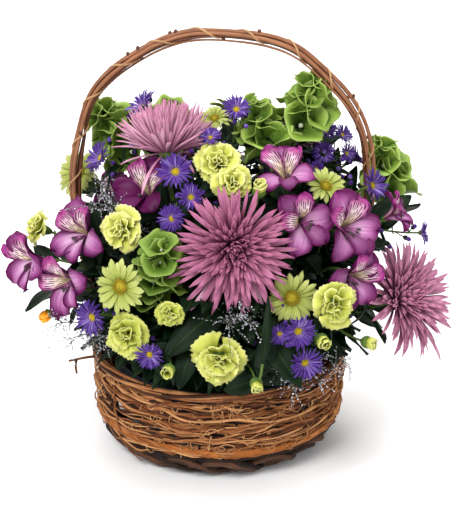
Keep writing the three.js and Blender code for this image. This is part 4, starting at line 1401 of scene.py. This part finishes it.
# Curls off the wall: the way round, in degrees, and the height and size in millimetres.
CURLS = [(-91, 42, 5.0), (-97, 60, 3.5), (-70, 55, 3.0), (80, 48, 5.0), (170, 60, 4.0)]

# Points, in millimetres, of the broken ends under the rim: a forked one on the left, one at the back right.
BROKEN_ENDS = [
    [(-118, -34, 97), (-132, -42, 99), (-150, -44, 96)],
    [(-142, -44, 98), (-143, -46, 92), (-142, -48, 84)],
    [(112, 56, 96), (126, 66, 99), (138, 76, 98)],
]


def rootlets(rng):
    """Fine curled rootlets, longer curls, one hanging vine and the broken ends."""
    skin, fine = Skin(), 320
    s = np.linspace(0, 1, 12)[:, None]
    for _ in range(fine):
        turn, z = rng.uniform(0, FULL_TURN), rng.uniform(26, 99) * MM
        start = round_path(np.array([turn]), np.array([z]), 1.5 * MM)[0]
        out, aside = polar(1.0, turn, 0.0), polar(1.0, turn + math.pi / 2, 0.0)
        curl = rng.uniform(2, 9)
        path = start + aside * s * rng.normal(0, 13) * MM + out * np.sin(s * 2.6) * rng.uniform(1.5, 4.5) * MM
        path = path + UP * np.sin(s * curl) * rng.normal(0, 3.5) * MM
        skin.tube(path, (0.62 * MM, 0.3 * MM), sides=3, tone=rng.uniform(0.7, 1.1))
    s = np.linspace(0, 1, 40)
    for turn, z, size in CURLS:
        curl = size * MM * (1 - 0.6 * s)
        angle = math.radians(turn) + (curl * np.cos(s * 9.5) + 8 * MM * (1 - s)) / RADII[0]
        path = round_path(angle, z * MM + curl * np.sin(s * 9.5), -1.2 * MM - 1.5 * MM * s)
        skin.tube(path, (0.7 * MM, 0.35 * MM), sides=5, tone=0.8)
    s = np.linspace(0, 1, 24)
    turn = np.radians(np.interp(s, [0, 0.4, 0.75, 1], [-144, -143, -140, -131]))
    z = np.interp(s, [0, 0.3, 0.8, 1], [84, 66, 24, 7]) * MM
    out = np.interp(s, [0, 0.3, 0.8, 1], [0.5, 2.5, 3.0, 7.0]) * MM
    skin.tube(round_path(turn, z, -out), (1.0 * MM, 0.6 * MM), tone=0.5)
    for points in BROKEN_ENDS:
        skin.tube(through(np.array(points) * MM, 14), (1.6 * MM, 1.1 * MM), tone=0.3)
    piece("rootlets", skin, BARK, "vine_bark", "weave_body")


# The handle's rods. Where each one swings away from the bundle: the share of the handle's length, the half
# width of the bulge as such a share, and how far out in millimetres; then the rod's radius in millimetres.
RODS = {
    "outer": (0.70, 0.08, 3.0, 2.2),
    "back": (0.8, 0.07, 1.5, 2.0),
    "inner": (0.26, 0.06, 2.2, 1.8),
    "front": (0.24, 0.05, 1.2, 2.0),
}
HANDLE = np.linspace(0, 1, 170)  # the stations along the handle, as shares of its length


def handle_lines():
    """The middles of the rods and of the bundle, and how far the bundle bends from the CAD's true arch."""
    lines = {side: through(rings_of(f"handle_rod_{side}", 9 * MM), len(HANDLE)) for side in RODS}
    axis = sum(lines.values()) / len(lines)
    bends = 15  # in and out a little, from one binding to the next
    far = np.resize([1.0, -1.0], bends) * dice("arch").uniform(0.4, 2.0, bends) * MM
    far = far * np.sin(np.linspace(0, math.pi, bends)) ** 0.5
    kink = smoothed(np.interp(HANDLE, np.linspace(0.14, 0.9, bends), far), 5)
    sway = unit(np.cross(np.gradient(axis, axis=0), BACK)) * kink[:, None]
    return {side: line + sway for side, line in lines.items()}, axis + sway, sway


def handle_rod(side, line, axis, bark, rng):
    """One rod, with nubs where shoots were cut off. Returns its radius and how far its points lie from the
    bundle's middle."""
    at, wide, far, radius = RODS[side]
    away = far * MM * np.exp(-(((HANDLE - at) / wide) ** 2))
    away = away - 0.5 * MM + ripple(rng, HANDLE, 31, 0.6 * MM) + 0.3 * MM * np.sin(HANDLE * 71)
    path = line + unit(line - axis) * away[:, None]
    path[:, 1] += ripple(rng, HANDLE, 25, 0.6 * MM)
    knots = 1 + ripple(rng, HANDLE, 40, 0.06) + ripple(rng, HANDLE, 97, 0.05)
    skin = Skin()
    skin.tube(path, radius * MM * knots, sides=10, tone=rng.uniform(0.2, 0.9), side=BACK)
    for at in rng.choice(np.arange(30, len(path) - 30), 6 if side == "outer" else 2, replace=False):
        way = unit(unit(path[at] - axis[at]) + BACK * rng.normal(0, 0.3))
        nub = path[at] + way * np.array([0.5, 2.4, 3.6, 4.4])[:, None] * MM
        skin.tube(nub, np.array([2.2, 2.0, 1.6, 0.9]) * MM, sides=8, tone=0.4)
    piece(f"handle_rod_{side}_vine", skin, bark, "handle_vine", f"handle_rod_{side}")
    return radius * MM, path - axis


def thin_vine(line, axis, bark):
    """A thin vine that winds loosely along the bundle."""
    angle = (HANDLE * 5.5 + 0.6)[:, None]
    path = axis + (unit(line - axis) * np.cos(angle) + BACK * np.sin(angle)) * 7.0 * MM
    radius = 1.15 * MM * (1 + 0.1 * np.sin(HANDLE * 60))
    kept = slice(18, -18)
    skin = Skin()
    skin.tube(path[kept], radius[kept], sides=7, tone=0.8, side=BACK)
    piece("handle_thin_vine", skin, bark, "handle_vine", "handle_rod_outer")


def cane_binding(axis, sway, bundle):
    """The cane, pulled tight: as far from the bundle's middle, each way, as the rod that stands out most."""
    path = through(rings_of("handle_binding", 3.5 * MM), 700)
    beside = np.linalg.norm(path[:, None] - axis[None], axis=2).argmin(1)
    away = unit(path + sway[beside] - axis[beside])
    tight = np.max([(offset[beside] * away).sum(1) + radius for radius, offset in bundle], axis=0) + 0.5 * MM
    path = axis[beside] + away * smoothed(tight, 9)[:, None]
    for _ in range(2):
        path[1:-1] = (path[:-2] + path[1:-1] + path[2:]) / 3
    skin = Skin()
    skin.tube(path, 0.7 * MM, 1.2 * MM, sides=8, tone=0.6, side=away[None])
    tones = srgb(92, 58, 32), srgb(162, 120, 78), srgb(208, 172, 126)
    cane = paint_bark("cane", *tones, roughness=0.45, ridge=0.5, shine=0.4)
    piece("cane_binding", skin, cane, "cane", "handle_binding")


def build_handle():
    rng = dice("handle")
    tones = srgb(44, 20, 12), srgb(104, 58, 36), srgb(162, 108, 72)
    bark = paint_bark("handle_vine", *tones, roughness=0.5, ridge=1.0, shine=0.4)
    lines, axis, sway = handle_lines()
    bundle = [handle_rod(side, line, axis, bark, rng) for side, line in lines.items()]
    thin_vine(lines["outer"], axis, bark)
    cane_binding(axis, sway, bundle)


def finish_dish_and_foam():
    for node, paint in (("water_dish", paint_dish()), ("foam_block", paint_foam())):
        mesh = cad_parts[node].data
        mesh.materials.clear()
        mesh.materials.append(paint)


# ---------------------------------------------------------------- the studio


# The lamps: the place and size in metres and the power in watts. All of them aim at the flowers.
LAMPS = {
    "key": ((-0.9, -1.6, 1.9), 1.0, 54),
    "top": ((0.3, 0.2, 2.2), 1.5, 38),
    "fill": ((1.7, -1.4, 0.9), 1.4, 11),
    "back": ((-0.5, 1.9, 1.0), 1.4, 20),
}


def build_floor(scene):
    """A pale matt floor, just under the basket."""
    half = 6.0
    mesh = bpy.data.meshes.new("floor")
    corners = [(-half, -half, 0), (half, -half, 0), (half, half, 0), (-half, half, 0)]
    mesh.from_pydata(corners, [], [(0, 1, 2, 3)])
    paint = bpy.data.materials.new("floor")
    paint.use_nodes = True
    shader = paint.node_tree.nodes["Principled BSDF"]
    shader.inputs["Base Color"].default_value = (0.9, 0.9, 0.9, 1)
    shader.inputs["Roughness"].default_value = 0.9
    shader.inputs["Specular IOR Level"].default_value = 0.1
    mesh.materials.append(paint)
    floor = bpy.data.objects.new("floor", mesh)
    floor.location.z = -0.3 * MM
    scene.collection.objects.link(floor)


def build_lights(scene):
    world = bpy.data.worlds.new("studio")
    world.use_nodes = True
    background = world.node_tree.nodes["Background"]
    background.inputs["Color"].default_value = (1, 1, 1, 1)
    background.inputs["Strength"].default_value = 0.6
    scene.world = world
    for name, (place, size, power) in LAMPS.items():
        lamp = bpy.data.lights.new(name, "AREA")
        lamp.size, lamp.energy = size, power
        holder = bpy.data.objects.new(name, lamp)
        holder.location = place
        aim = np.array([0, 0, 200 * MM]) - np.array(place)
        holder.rotation_euler = Vector(aim).to_track_quat("-Z", "Y").to_euler()
        scene.collection.objects.link(holder)


def build_camera(scene):
    camera = bpy.data.cameras.new("camera")
    camera.lens = 126
    holder = bpy.data.objects.new("camera", camera)
    aim, distance, elevation = np.array([6.5 * MM, 0, 190 * MM]), 1.8, math.radians(22.5)
    holder.location = aim + distance * np.array([0, -math.cos(elevation), math.sin(elevation)])
    holder.rotation_euler = (math.pi / 2 - elevation, 0, 0)
    scene.collection.objects.link(holder)
    scene.camera = holder


def build_studio():
    scene = bpy.context.scene
    scene.view_settings.view_transform = "Standard"
    build_floor(scene)
    build_lights(scene)
    build_camera(scene)


BARK = paint_bark("vine_bark", srgb(52, 27, 16), srgb(144, 85, 46), srgb(216, 160, 106))
DARK_BARK = paint_bark("dark_vine", srgb(22, 13, 10), srgb(54, 35, 27), srgb(104, 69, 49))

build_studio()
build_wall()
build_rim()
build_loose()
build_handle()
finish_dish_and_foam()
build_sprays()
build_bells()
build_foliage()
build_limonium()
build_orange_bud()
